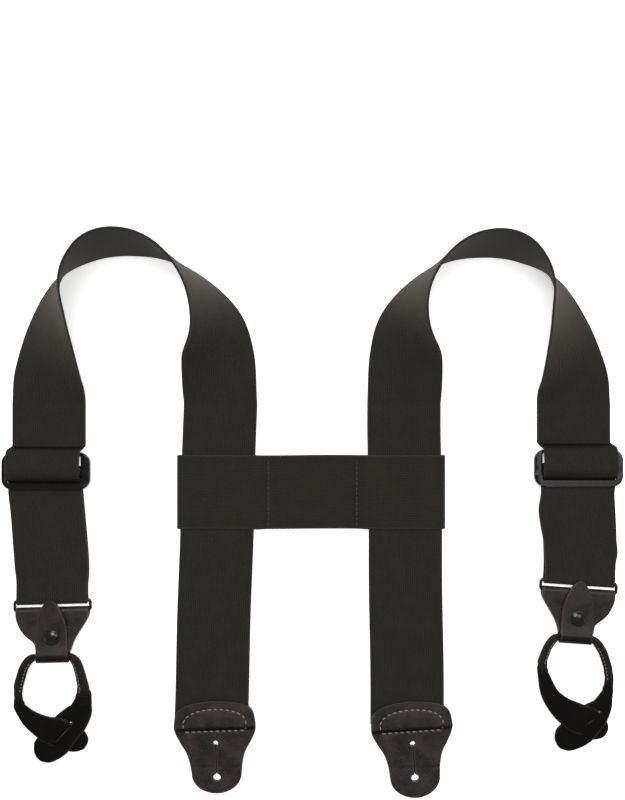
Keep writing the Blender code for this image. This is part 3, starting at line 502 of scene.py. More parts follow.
def leather_material(name, dark, light, edge, grain=1500.0, rough=(0.36, 0.56), scuff=0.35, shine=0.34,
                     dulled=0.2):
    """Oiled leather: pebbled grain with fine pores, darker hollows, soft creases and paler rubbed edges.

    Where the tone attribute is high, the colour goes near black and the shine falls to the dulled share:
    painted shade on the keeper's fold and the tab's step, and darker flat ends on the button loops.
    """
    n = Nodes(name)
    u, v = n.uv()
    warp = n.noise(260.0, 3.0, 0.6)
    place = n.point(n.plus(u, n.times(warp, 0.0011)), n.plus(v, n.times(warp, 0.0008)))
    cells = n.node("ShaderNodeTexVoronoi", {"Vector": place, "Scale": grain}, feature="DISTANCE_TO_EDGE")
    pebble = n.ramp(cells.outputs["Distance"], 0.0, 0.22, 0.0, 1.0)
    pores = n.noise(4200.0, 2.0, 0.6)
    cloud = n.noise(70.0, 4.0, 0.62)
    crease = n.noise(1.0, 3.0, 0.6, n.point(n.times(u, 120.0), n.times(v, 420.0)))
    colour = n.mix(n.ramp(cloud, 0.32, 0.70, 0.0, 1.0), rgb(*dark), rgb(*light))
    colour = n.mix(n.times(n.ramp(pebble, 0.0, 0.6, 1.0, 0.0), 0.5), colour, scaled(dark, 0.4))
    rubbed = n.times(n.ramp(n.noise(380.0, 4.0, 0.65), 0.56, 0.74, 0.0, 1.0), scuff)
    colour = n.mix(rubbed, colour, scaled(light, 1.9))
    # Painted shade, and the button loops' darker flat ends: where the tone attribute is high the colour goes
    # near black
    painted_shade_and_dark_flats = n.attribute("tone")
    colour = n.mix(n.times(painted_shade_and_dark_flats, 0.86), colour, rgb(0.0010, 0.0009, 0.0008))
    ragged = n.ramp(n.noise(900.0, 3.0, 0.6), 0.3, 0.6, 0.35, 1.0)
    worn = n.times(n.ramp(n.attribute("wear"), 0.25, 0.95, 0.0, 0.75), ragged)
    colour = n.mix(worn, colour, rgb(*edge))
    height = n.plus(n.times(pebble, 0.55), n.times(pores, 0.30), n.times(crease, 0.9))
    roughness = n.plus(n.ramp(cloud, 0.3, 0.7, rough[0], rough[1]), n.times(rubbed, 0.25))
    return n.finish(Base_Color=colour, Roughness=roughness, Normal=n.bump(height, 0.00012, 0.75),
                    Specular_IOR_Level=n.ramp(painted_shade_and_dark_flats, 0.0, 1.0, shine, shine * dulled))


def thread_material(name, dark, light):
    """Twisted sewing thread: slanted plies along each stitch."""
    n = Nodes(name)
    u, v = n.uv()
    slanted = n.plus(n.times(v, 9500.0), n.times(u, 3500.0))
    ply = n.math("MULTIPLY_ADD", n.math("SINE", slanted), 0.5, 0.5)
    fuzz = n.noise(3500.0, 2.0, 0.6)
    colour = n.mix(n.math("MULTIPLY_ADD", ply, 0.6, n.times(fuzz, 0.4)), rgb(*dark), rgb(*light))
    return n.finish(Base_Color=colour, Roughness=0.75, Normal=n.bump(ply, 0.00008, 0.8),
                    Specular_IOR_Level=0.3, Sheen_Weight=0.2)


def metal_material(name, base, rough, edge_wear_and_highlight, coat):
    """Black enamelled metal: faint orange peel, fine scratches, and sharp edges turned a softer grey, partly
    rubbed paint and partly a painted highlight.
    """
    n = Nodes(name)
    spots = n.node("ShaderNodeTexCoord").outputs["Object"]
    peel = n.noise(900.0, 2.0, 0.5, spots)
    haze = n.noise(160.0, 4.0, 0.65, spots)
    drawn = n.node("ShaderNodeMapping", {"Vector": spots, "Scale": (260.0, 2600.0, 900.0)}).outputs[0]
    scratch = n.noise(1.0, 3.0, 0.5, drawn)
    corner = n.node("ShaderNodeNewGeometry").outputs["Pointiness"]
    # Painted highlight and rubbed paint: sharp edges go paler grey in patches
    edge = n.times(n.ramp(corner, 0.54, 0.68, 0.0, 1.0), n.ramp(haze, 0.40, 0.65, 0.0, edge_wear_and_highlight))
    colour = n.mix(edge, rgb(*base), rgb(0.10, 0.10, 0.10))
    colour = n.mix(n.ramp(scratch, 0.62, 0.74, 0.0, 0.35), colour, scaled(base, 2.6))
    height = n.plus(n.times(peel, 0.6), n.times(scratch, 0.3))
    return n.finish(Base_Color=colour, Roughness=n.ramp(haze, 0.3, 0.7, rough[0], rough[1]),
                    Normal=n.bump(height, 0.00003, 0.5), Specular_IOR_Level=0.24, Coat_Weight=coat,
                    Coat_Roughness=0.12)


WEBBING = webbing_material("webbing", (0.0048, 0.0042, 0.0033), (0.0190, 0.0164, 0.0130), (0.075, 0.066, 0.055))
BAND = webbing_material("band_webbing", (0.0052, 0.0044, 0.0034), (0.0198, 0.0168, 0.0130),
                        (0.070, 0.062, 0.050), column=0.00115, pick=0.0008)
LEATHER = leather_material("leather", (0.0040, 0.0023, 0.0020), (0.0260, 0.0170, 0.0148), (0.036, 0.026, 0.022))
BLACK_LEATHER = leather_material("loop_leather", (0.0060, 0.0040, 0.0036), (0.0210, 0.0145, 0.0128),
                                 (0.080, 0.064, 0.050), grain=1900.0, rough=(0.55, 0.75), scuff=0.2, shine=0.12,
                                 dulled=0.65)
LINING = leather_material("lining_leather", (0.012, 0.009, 0.008), (0.024, 0.018, 0.016), (0.040, 0.031, 0.027),
                          grain=2600.0, rough=(0.62, 0.8), scuff=0.15)
THREAD = thread_material("thread", (0.085, 0.072, 0.066), (0.25, 0.218, 0.205))
DARK_THREAD = thread_material("dark_thread", (0.010, 0.009, 0.008), (0.040, 0.035, 0.030))
SLIDER = metal_material("slider_metal", (0.0026, 0.0028, 0.0027), (0.13, 0.20), 0.2, 0.0)
RING = metal_material("ring_metal", (0.0060, 0.0060, 0.0060), (0.24, 0.38), 0.5, 0.1)
RIVET = metal_material("rivet_metal", (0.0050, 0.0048, 0.0048), (0.16, 0.28), 0.3, 0.25)
CORD = thread_material("cord", (0.12, 0.10, 0.08), (0.34, 0.29, 0.23))


def hold(piece, body, slot, *nodes):
    """The piece rides on this body and stands for these CAD nodes; the slot is not used."""
    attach(piece, body)
    return show(piece, slot, *nodes)


def show(piece, slot, *nodes):
    if nodes:
        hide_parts(*nodes)
    return piece


def joint(name):
    return next(j for j in frame["joints"] if j["name"] == name)


def hinge_tilt(name):
    axis = joint(name)["axis"]
    return math.atan2(axis[1], axis[0])


def at_hinge(name):
    """Turns a point in the plan of the piece on this hinge into the row frame."""
    return local(joint(name)["pos_m"], hinge_tilt(name))


# Crosspiece: a flattened loop of webbing round both straps

def build_crosspiece():
    low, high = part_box("crosspiece_band")
    low_y, high_y = low.y, high.y
    back = low.z + BAND_THICKNESS / 2
    front = high.z - BAND_THICKNESS / 2
    bend = (front - back) / 2
    left, right = low.x + BAND_THICKNESS / 2 + bend, high.x - BAND_THICKNESS / 2 - bend
    seam = 0.0345
    inner = back + BAND_THICKNESS + GAP
    profile = [(x, back) for x in np.linspace(left, right, 46)]
    profile += arc(right, back + bend, bend, -75, 90)
    over = []
    for x in np.linspace(right, left, 93)[1:-1]:
        dip = ease((seam + 0.0030 - abs(x)) / 0.0060)
        sag = 0.00012 * math.sin(x * 90.0) + 0.00008 * math.sin(x * 210.0 + 1.0)
        over.append((x, front + (inner - front) * dip + (sag if dip > 0.5 else 0.0)))
    profile += over
    profile += arc(left, back + bend, bend, 90, 255)
    stations = []
    for x, z in profile:
        wave = 0.00018 * math.sin(x * 70.0 + 0.6)
        stations.append(((x, low_y + 0.0002 + wave, z), (x, high_y - 0.0002 + wave, z)))
    band = strip("crosspiece_webbing", stations, BAND_THICKNESS, BAND, across=18, bead=0.00010, closed=True)
    hold(band, "crosspiece", "band_webbing", "crosspiece_band")
    for name, x in (("left", -seam + 0.004), ("right", seam - 0.004)):
        level = inner + BAND_THICKNESS / 2 + 0.00010
        row = [(x, y, level) for y in np.linspace(low_y + 0.0024, high_y - 0.0024, 30)]
        hold(stitches(f"crosspiece_stitches_{name}", row, DARK_THREAD, 0.0026, 0.0009, 0.00030), "crosspiece",
             "thread", f"crosspiece_seam_{name}")


# Shoulder strap and upper run

SMOOTHINGS = 40


def shoulder_stations(side):
    sign, steps = SIGN[side], 14
    lean = joint(f"{side}_strap_slide")["axis"]
    slope = lean[0] / lean[1]
    back_x = lambda y: BACK_FOOT[side][0] + slope * (y - BACK_FOOT[side][1])
    edge_x = back_x(LOOP_END_Y) - sign * WEBBING_WIDTH / 2
    path = curve_through(SHOULDERS[side] + ((edge_x, LOOP_END_Y, 0),), steps=steps, alpha=0.0)
    plan = path * (1, 1, 0)
    way = ways(plan)
    inward = np.stack([way[:, 1], -way[:, 0], 0 * way[:, 0]], axis=1)
    leg = unit(np.array((slope, 1.0, 0.0)))
    square = np.array((leg[1], -leg[0], 0.0))
    first, last = np.array((1.0, 0.0, 0.0)), -square
    feet, reaches = [], []
    count = len(path) - 1
    for i, (place, inner) in enumerate(zip(path, inward)):
        for start, target in ((i, first), (count - i, last)):
            inner = unit(inner + (target - inner) * (1 - ease(start / (1.4 * steps))))
        angle = math.radians(max(place[2], 0.0))
        along = max(0.0, (i / count - 0.75) / 0.25)
        lift = (BACK_LEVEL - FRONT_LEVEL + 0.00005) * ease(along)
        roll = 0.00025 * math.sin(i * 0.35) * math.sin(math.pi * i / count)
        height = WEBBING_THICKNESS / 2 * abs(math.cos(angle)) + 0.00005 + lift + abs(roll)
        feet.append(np.array((place[0], place[1], height)))
        reaches.append(inner * (-sign * math.cos(angle)) + np.array((0.0, 0.0, math.sin(angle))))
    reaches = np.array(reaches)
    for _ in range(SMOOTHINGS):
        reaches[1:-1] = (reaches[:-2] + 2 * reaches[1:-1] + reaches[2:]) / 4
    stations = [(foot, foot + unit(reach) * WEBBING_WIDTH) for foot, reach in zip(feet, reaches)][:-1]
    for y in np.linspace(LOOP_END_Y, WEBBING_END_Y, 60):
        middle = np.array((back_x(y), y, BACK_LEVEL))
        wave = 0.00022 * math.sin(y * 55.0 + sign) * ease((LOOP_END_Y - y) / 0.02)
        shift = square * (sign * wave)
        stations.append((middle - sign * square * WEBBING_WIDTH / 2 + shift,
                         middle + sign * square * WEBBING_WIDTH / 2 + shift))
    return stations


def build_strap(side):
    stations = shoulder_stations(side)
    strap = strip(f"{side}_shoulder_webbing", stations, WEBBING_THICKNESS, WEBBING, across=20, bead=0.00010)
    hold(strap, f"{side}_strap", "webbing", f"{side}_shoulder_strap")
    low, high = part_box(f"{side}_strap_upper_run")
    middle = (low.x + high.x) / 2
    rows = [((middle - WEBBING_WIDTH / 2, y, FRONT_LEVEL), (middle + WEBBING_WIDTH / 2, y, FRONT_LEVEL))
            for y in np.linspace(LOOP_END_Y, low.y - GAP, 16)]
    run = strip(f"{side}_upper_run_webbing", rows, WEBBING_THICKNESS, WEBBING, across=20, bead=0.00010)
    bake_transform(run)
    show(run, "webbing", f"{side}_strap_upper_run")


# Slider, and the webbing that goes over it, down to the ring, round it and back to the slider's middle bar

HUMP = ((0.0172, FRONT_LEVEL), (0.0158, 0.00105), (0.0149, 0.0021), (0.0144, 0.0040), (0.0140, 0.0060),
        (0.0129, 0.0074), (0.0108, 0.0081), (0.0075, 0.0089), (0.0040, 0.0095), (0.0010, 0.00985),
        (-0.0020, 0.00965), (-0.0042, 0.0083), (-0.0056, 0.0062), (-0.0066, 0.0042), (-0.0080, 0.0031),
        (-0.0100, DOUBLE_LEVEL), (-0.0143, DOUBLE_LEVEL))
UPPER_BAR = 0.0024
MIDDLE_BAR = 0.0024
LOWER_BAR = 0.0042


def build_front(side):
    low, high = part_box(f"{side}_slider_frame")
    slider = (low + high) / 2
    run_low, run_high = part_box(f"{side}_strap_upper_run")
    front_x = (run_low.x + run_high.x) / 2
    at_ring = at_hinge(f"{side}_ring_hinge")
    half = WEBBING_WIDTH / 2
    rows = []
    # Over the slider the webbing lies against the outer bar
    aside = slider.x + SIGN[side] * ((high.x - low.x) / 2 - OUTER_BAR[side] - half - 0.0002) - front_x

    def level_row(y, z, share=1.0):
        middle = front_x + aside * share
        rows.append((middle - half, slider.y + y, z, middle + half, slider.y + y, z))

    def ring_row(y, z):
        wide = between(((0.0, 0.0242), (0.012, 0.0243), (FOLD_LENGTH, half)), y)
        rows.append((*at_ring(-wide, y, z), *at_ring(wide, y, z)))

    for y, z in HUMP:
        level_row(y, z, ease((HUMP[0][0] - y) / 0.0026))
    level_row(-0.0200, DOUBLE_LEVEL, 0.75)
    level_row(-0.0290, DOUBLE_LEVEL, 0.25)
    for y, z in ((FOLD_LENGTH, DOUBLE_LEVEL), (0.014, 0.00325), (0.008, 0.00415)):
        ring_row(y, z)
    fold = RING_WIRE_RADIUS + GAP + WEBBING_THICKNESS / 2
    for y, z in arc(0.0, RING_LEVEL, fold, 90, 270):
        ring_row(y, z)
    for y, z in ((0.008, 0.0009), (FOLD_LENGTH, FRONT_LEVEL)):
        ring_row(y, z)
    loop = math.hypot(0.0024, 0.0022) / 2 + GAP + WEBBING_THICKNESS / 2
    for y, z in ((-0.0090, 0.00085), (-0.0062, 0.00105), (-0.0035, 0.00165), (-0.0016, 0.00215)):
        level_row(y, z)
    for y, z in arc(0.0, slider.z, loop, -90, 195):
        level_row(y, z)
    rows = curve_through(rows, spacing=0.0035)
    stations = [(r[:3], r[3:]) for r in rows]
    # Painted shade: the webbing is toned darker in the crease above the slider, and where it turns down below
    # it
    along = (rows[:, 1] + rows[:, 4]) / 2 - slider.y
    crease = 0.95 * np.exp(-((along - 0.0150) / 0.0016) ** 2)
    turn_down_shade = 0.9 * np.clip((-0.0005 - along) / 0.0070, 0, 1) * (rows[:, 2] > 0.0029)
    tone = np.where((along > -0.0115) & (along < HUMP[0][0]), crease + turn_down_shade, 0.0)
    piece = strip(f"{side}_front_webbing", stations, WEBBING_THICKNESS, WEBBING, across=20, bead=0.00010,
                  tone=tone)
    end = at_ring(0.0, FOLD_LENGTH, DOUBLE_LEVEL)
    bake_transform(piece)
    show(piece, "webbing", f"{side}_strap_over_slider", f"{side}_strap_end_loop",
         f"{side}_strap_lower_front_run", f"{side}_strap_lower_back_run", f"{side}_strap_fold")


def build_slider(side):
    """Its windows just take the webbing. The lower bar and the inner end are the broad ones."""
    low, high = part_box(f"{side}_slider_frame")
    middle = (low + high) / 2
    width, height = high.x - low.x, high.y - low.y
    window_wide = WEBBING_WIDTH + 0.0004
    shift = SIGN[side] * ((width - window_wide) / 2 - OUTER_BAR[side])
    upper = height / 2 - UPPER_BAR - MIDDLE_BAR / 2
    lower = height / 2 - LOWER_BAR - MIDDLE_BAR / 2
    windows = (rounded_rectangle(window_wide, upper, 0.0012, (MIDDLE_BAR + upper) / 2, 4),
               rounded_rectangle(window_wide, lower, 0.0012, -(MIDDLE_BAR + lower) / 2, 4))
    outlines = [rounded_rectangle(width, height, 0.0072)] + [[(x + shift, y) for x, y in w] for w in windows]
    plan = local((middle.x, middle.y), 0.0)
    bars = plate(f"{side}_slider_bars", outlines, high.z - low.z, plan, middle.z, SLIDER, 0.004, 0.00105)
    hold(bars, f"{side}_slider", "slider_metal", f"{side}_slider_frame")


def build_ring(side):
    """A round wire bent to a rectangle."""
    at_ring = at_hinge(f"{side}_ring_hinge")
    outline = rounded_rectangle(0.0522, RING_PITCH, 0.0022, -RING_PITCH / 2, 8)
    path = curve_through([(x, y) for x, y in outline] + [outline[0]], spacing=0.002)[:-1]
    centre = np.array([at_ring(x, y, RING_LEVEL) for x, y in path])
    way = ways(centre, True)
    out = np.cross(way, (0, 0, 1))
    rings = [[c + (o * math.cos(a) + np.array((0, 0, 1)) * math.sin(a)) * RING_WIRE_RADIUS
              for a in np.linspace(0, 2 * math.pi, 16, endpoint=False)] for c, o in zip(centre, out)]
    wire = sweep(f"{side}_ring_wire", rings, RING, closed=True)
    hold(wire, f"{side}_ring", "ring_metal", f"{side}_wire_ring")


# Yoke, keeper and rivet

OUTER_EDGE = ((0.0, 0.0250), (0.0034, 0.0250), (0.0076, 0.0241), (0.0127, 0.0219), (0.0172, 0.0182),
              (0.0204, 0.0143), (0.0225, 0.0127), (0.0275, 0.0121))
INNER_EDGE = ((0.0, 0.0252), (0.0034, 0.0249), (0.0076, 0.0230), (0.0123, 0.0200), (0.0168, 0.0169),
              (0.0214, 0.0143), (0.0252, 0.0128), (0.0275, 0.0121))
KEEPER_EDGE = ((0.0, 0.0005), (0.0004, 0.0014), (0.0012, 0.0026), (0.0028, 0.0043), (0.0050, 0.0060),
               (0.0080, 0.0076), (0.0113, 0.0089), (0.0150, 0.0100), (0.0185, 0.0107), (0.0225, 0.0110))


def build_yoke(side):
    at_bar = at_hinge(f"{side}_yoke_hinge")
    bend = RING_WIRE_RADIUS + GAP + LEATHER_THICKNESS / 2
    front_level = YOKE_LEVEL + LEATHER_THICKNESS + GAP
    edges = (OUTER_EDGE, INNER_EDGE) if side == "left" else (INNER_EDGE, OUTER_EDGE)
    left, right = (curve_through(edge, spacing=0.0008) for edge in edges)
    straight = (-0.0275, -0.0225, -0.0183, -0.0135, -0.0095)
    path = [(y, YOKE_LEVEL) for y in straight] + [(-0.0045, RING_LEVEL - bend + 0.0003)]
    path += arc(0.0, RING_LEVEL, bend, -90, 90)
    path += [(-0.0045, RING_LEVEL + bend - 0.0002)] + [(y, front_level) for y in reversed(straight)]
    stations = []
    for y, z in curve_through(path, spacing=0.0011):
        stations.append((at_bar(-between(left, -y), y, z), at_bar(between(right, -y), y, z)))
    yoke = strip(f"{side}_yoke_leather", stations, LEATHER_THICKNESS, LEATHER, across=22, edge=0.0004)
    hold(yoke, f"{side}_yoke", "leather", f"{side}_yoke")


def build_keeper(side):
    """From the tip over the ring, down the yoke's front, round the button loop's neck and up the back."""
    at_bar = at_hinge(f"{side}_yoke_hinge")
    half = LEATHER_THICKNESS / 2
    level = YOKE_LEVEL + 2 * (LEATHER_THICKNESS + GAP)
    tip_level = RING_LEVEL + RING_WIRE_RADIUS + half + LEATHER_THICKNESS + 2 * GAP + 0.00005
    roll_bend = 0.0022 + GAP + half
    tip_y = 0.0086
    path = [(tip_y - d, tip_level) for d in (0.0, 0.0004, 0.0012, 0.0028, 0.0050, 0.0098)]
    path += [(-0.0060, tip_level - 0.0003), (-0.0120, level), (-0.0235, level), (-0.0275, level + 0.0006)]
    path += arc(-ROLL_DISTANCE, ROLL_LEVEL, roll_bend, 90, 270)
    path += [(-0.0270, half + 0.0001), (-0.0110, half + 0.0001)]
    rows = curve_through(path, spacing=0.0008)
    travelled = np.concatenate([[0.0], np.cumsum(np.linalg.norm(np.diff(rows, axis=0), axis=1))])
    stations = []
    for (y, z), distance in zip(rows, travelled):
        wide = between(KEEPER_EDGE, distance)
        stations.append((at_bar(-wide - 0.0003, y, z), at_bar(wide - 0.0003, y, z)))
    # Painted shade: the keeper goes near black where it turns down round the button loop's neck
    tone = [0.8 * ease((-0.0288 - y) / 0.0014) for y, z in rows]
    keeper = strip(f"{side}_keeper_leather", stations, LEATHER_THICKNESS, LEATHER, across=14, edge=0.0004,
                   tone=tone)
    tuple(at_bar(0.0, -0.0030, RING_LEVEL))
    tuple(at_bar(0.0, tip_y, RING_LEVEL))
    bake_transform(keeper)
    show(keeper, "leather", f"{side}_keeper_tab", f"{side}_keeper_tip")


def build_rivet(side):
    low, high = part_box(f"{side}_rivet_cap")
    centre, base = (low + high) / 2, low.z
    radius = (high.x - low.x) / 2
    profile = [(0.02, 0.00190), (0.12, 0.00188), (0.26, 0.00181), (0.42, 0.00166), (0.56, 0.00145),
               (0.68, 0.00119), (0.77, 0.00092), (0.83, 0.00070), (0.86, 0.00056), (0.885, 0.00050),
               (0.92, 0.00050), (0.955, 0.00046), (0.985, 0.00036), (1.0, 0.00020), (0.99, 0.00006),
               (0.96, 0.0), (0.5, 0.0), (0.02, 0.0)]
    rings = [[(centre.x + radius * r * math.cos(a), centre.y + radius * r * math.sin(a), base + z)
              for a in np.linspace(0, 2 * math.pi, 48, endpoint=False)] for r, z in profile]
    dome = sweep(f"{side}_rivet_dome", rings, RIVET, sharp=60)
    hold(dome, f"{side}_yoke", "rivet_metal", f"{side}_rivet_cap")
    post = frame["nodes"][f"{side}_rivet_post"]
    post.data.materials.clear()
    post.data.materials.append(RIVET)


# Button loop: rolled leather whose two ends flatten out, cross, and pass one through the other.
# The rows are x, y, height, half width, half thickness and how flat the leather is there.

UNDER_LEVEL = 0.0029
OVER_LEVEL = 0.0048


def flat(level, *rows):
    """Rows of flat leather at one level, from x, y and half width."""
    return tuple((x, y, level, half, FLAT, 1.0) for x, y, half in rows)


NECK = ((-0.0120, 0.0001, 0.0041, 0.0020, 0.0020, 0.0), (-0.0050, 0.0, 0.0041, 0.0019, 0.0019, 0.0),
        (0.0050, 0.0, 0.0041, 0.0019, 0.0019, 0.0), (0.0120, 0.0001, 0.0041, 0.0020, 0.0020, 0.0))
LOOPS = {
    "left": {
        "left_leg": (
            (-0.0144, -0.0003, 0.0040, 0.0026, 0.0025, 0.0), (-0.0172, -0.0020, 0.0036, 0.0029, 0.0028, 0.0),
            (-0.0210, -0.0074, 0.0033, 0.0031, 0.0030, 0.0), (-0.0236, -0.0150, 0.0032, 0.0032, 0.0030, 0.0),
            (-0.0251, -0.0220, 0.0031, 0.0029, 0.0027, 0.10)),
        "over": (
            (-0.0252, -0.0276, 0.0033, 0.0027, 0.0019, 0.55), (-0.0243, -0.0322, 0.0040, 0.0037, 0.0010, 0.9),
            (-0.0220, -0.0366, 0.0046, 0.0047, 0.00076, 1.0),
            *flat(OVER_LEVEL, (-0.0180, -0.0411, 0.0060), (-0.0126, -0.0453, 0.0073),
                  (-0.0070, -0.0486, 0.0086), (-0.0018, -0.0508, 0.0098))),
        "right_leg": (
            (0.0134, -0.0012, 0.0040, 0.0026, 0.0025, 0.0), (0.0155, -0.0046, 0.0035, 0.0032, 0.0029, 0.0),
            (0.0174, -0.0103, 0.0034, 0.0034, 0.0031, 0.0), (0.0189, -0.0171, 0.0034, 0.0037, 0.0031, 0.0)),
        "under": (
            (0.0196, -0.0240, 0.0032, 0.0043, 0.0026, 0.15), (0.0192, -0.0290, 0.0030, 0.0053, 0.0016, 0.6),
                  (0.0188, -0.0334, 0.0029, 0.0067, 0.00085, 1.0),
            *flat(UNDER_LEVEL, (0.0173, -0.0380, 0.0082), (0.0144, -0.0422, 0.0096),
                  (0.0102, -0.0468, 0.0107), (0.0039, -0.0532, 0.0113))),
        "angle": math.radians(45.3), "tip": 1.0, "lobe": 1.0},
    "right": {
        "left_leg": (
            (-0.0136, -0.0008, 0.0040, 0.0025, 0.0024, 0.0), (-0.0154, -0.0029, 0.0036, 0.0028, 0.0027, 0.0),
            (-0.0182, -0.0078, 0.0033, 0.0029, 0.0028, 0.0), (-0.0200, -0.0134, 0.0032, 0.0030, 0.0028, 0.0)),
        "over": (
            (-0.0209, -0.0200, 0.0032, 0.0031, 0.0026, 0.15), (-0.0205, -0.0246, 0.0036, 0.0036, 0.0016, 0.6),
            (-0.0192, -0.0298, 0.0044, 0.0045, 0.00080, 1.0),
            *flat(OVER_LEVEL, (-0.0172, -0.0354, 0.0055), (-0.0144, -0.0406, 0.0062),
                  (-0.0099, -0.0456, 0.0073), (-0.0045, -0.0498, 0.0086), (0.0015, -0.0530, 0.0097),
                  (0.0075, -0.0556, 0.0103))),
        "right_leg": (
            (0.0138, -0.0010, 0.0040, 0.0025, 0.0024, 0.0), (0.0160, -0.0032, 0.0036, 0.0028, 0.0027, 0.0),
            (0.0198, -0.0084, 0.0033, 0.0029, 0.0028, 0.0), (0.0228, -0.0154, 0.0032, 0.0029, 0.0028, 0.0),
            (0.0248, -0.0226, 0.0032, 0.0029, 0.0027, 0.05)),
        "under": (
            (0.0256, -0.0290, 0.0031, 0.0029, 0.0021, 0.4), (0.0252, -0.0340, 0.0030, 0.0036, 0.0011, 0.85),
                  (0.0241, -0.0400, 0.0029, 0.0051, 0.00078, 1.0),
            *flat(UNDER_LEVEL, (0.0220, -0.0462, 0.0072), (0.0183, -0.0516, 0.0096),
                  (0.0130, -0.0573, 0.0111))),
        "angle": math.radians(43.0), "tip": 1.12, "lobe": 0.85},
}
# Past the slit: how far along, how far to one side, and the half width there
UNDER_TIP = ((0.0068, 0.0006, 0.0116), (0.0120, 0.0002, 0.0110), (0.0160, -0.0005, 0.0101),
             (0.0190, -0.0014, 0.0088), (0.0210, -0.0020, 0.0070), (0.0224, -0.0025, 0.0048),
             (0.0232, -0.0028, 0.0022))
# Down through the slit: how far along, and the height
DROP = ((-0.0018, OVER_LEVEL), (-0.0006, 0.0045), (0.0, 0.0036), (0.0, 0.0022), (0.0006, 0.0013),
        (0.0018, 0.00095))
OVER_TIP = ((0.0060, 0.0008, 0.0102), (0.0100, 0.0020, 0.0093), (0.0138, 0.0030, 0.0078),
            (0.0165, 0.0035, 0.0058), (0.0180, 0.0037, 0.0036), (0.0186, 0.0038, 0.0018))
RING_POINTS = 44


def loop_rows(side):
    """Rows from the under end's tip, up the right leg, through the keeper, down the left and past the slit."""
    shape = LOOPS[side]
    middle, angle = np.array(shape["under"][-1][:2]), shape["angle"]

    def past(way, square, stations, scale, level):
        places = [middle + (way * along + square * off) * scale for along, off, half in stations]
        return list(flat(level, *((x, y, station[2]) for (x, y), station in zip(places, stations))))

    across = -np.array((math.cos(angle), math.sin(angle)))
    down = np.array((math.sin(angle), -math.cos(angle)))
    rows = past(across, down, UNDER_TIP, shape["tip"], UNDER_LEVEL)[::-1]
    rows += shape["under"][::-1] + shape["right_leg"][::-1] + NECK[::-1] + shape["left_leg"] + shape["over"]
    rows += [(*(middle + down * along), height, 0.0101, FLAT, 1.0) for along, height in DROP]
    rows += past(down, -across, OVER_TIP, shape["lobe"], 0.00092)
    return rows, middle


def loop_rings(rows, at_neck):
    centre = np.array([at_neck(r[0], r[1], r[2]) for r in rows])
    way = ways(centre)
    flat_way = unit(way * (1, 1, 0) + 1e-9)
    for i in range(1, len(flat_way)):
        if abs(way[i][2]) > 0.8:
            flat_way[i] = flat_way[i - 1]
    inner = np.stack([-flat_way[:, 1], flat_way[:, 0], 0 * flat_way[:, 0]], axis=1)
    up = unit(np.cross(way, inner))
    turn = 2 * math.pi * np.arange(RING_POINTS) / RING_POINTS
    c, s = np.cos(turn), np.sin(turn)
    folded = np.where(turn > math.pi, 2 * math.pi - turn, turn)
    line = 1 - 2 * folded / math.pi
    welt = np.exp(-(folded / 0.50) ** 2)
    slab = np.clip(6 * s, -1, 1)
    rings, worn = [], []
    for row, spot, side_way, high in zip(rows, centre, inner, up):
        half, thick, flat = row[3], row[4], row[5]
        p = (1 - flat) * ((half - 0.0006) * c - 0.0005 + 0.0013 * welt) + flat * half * line
        q = thick * ((1 - flat) * s * (1 - 0.30 * welt) + flat * slab)
        rings.append(spot + p[:, None] * side_way + q[:, None] * high)
        worn.append(np.where(np.abs(line) > 0.9, 0.5, 0.0) * flat + (1 - flat) * 0.25 * welt)
    return np.array(rings), np.array(worn), centre, inner


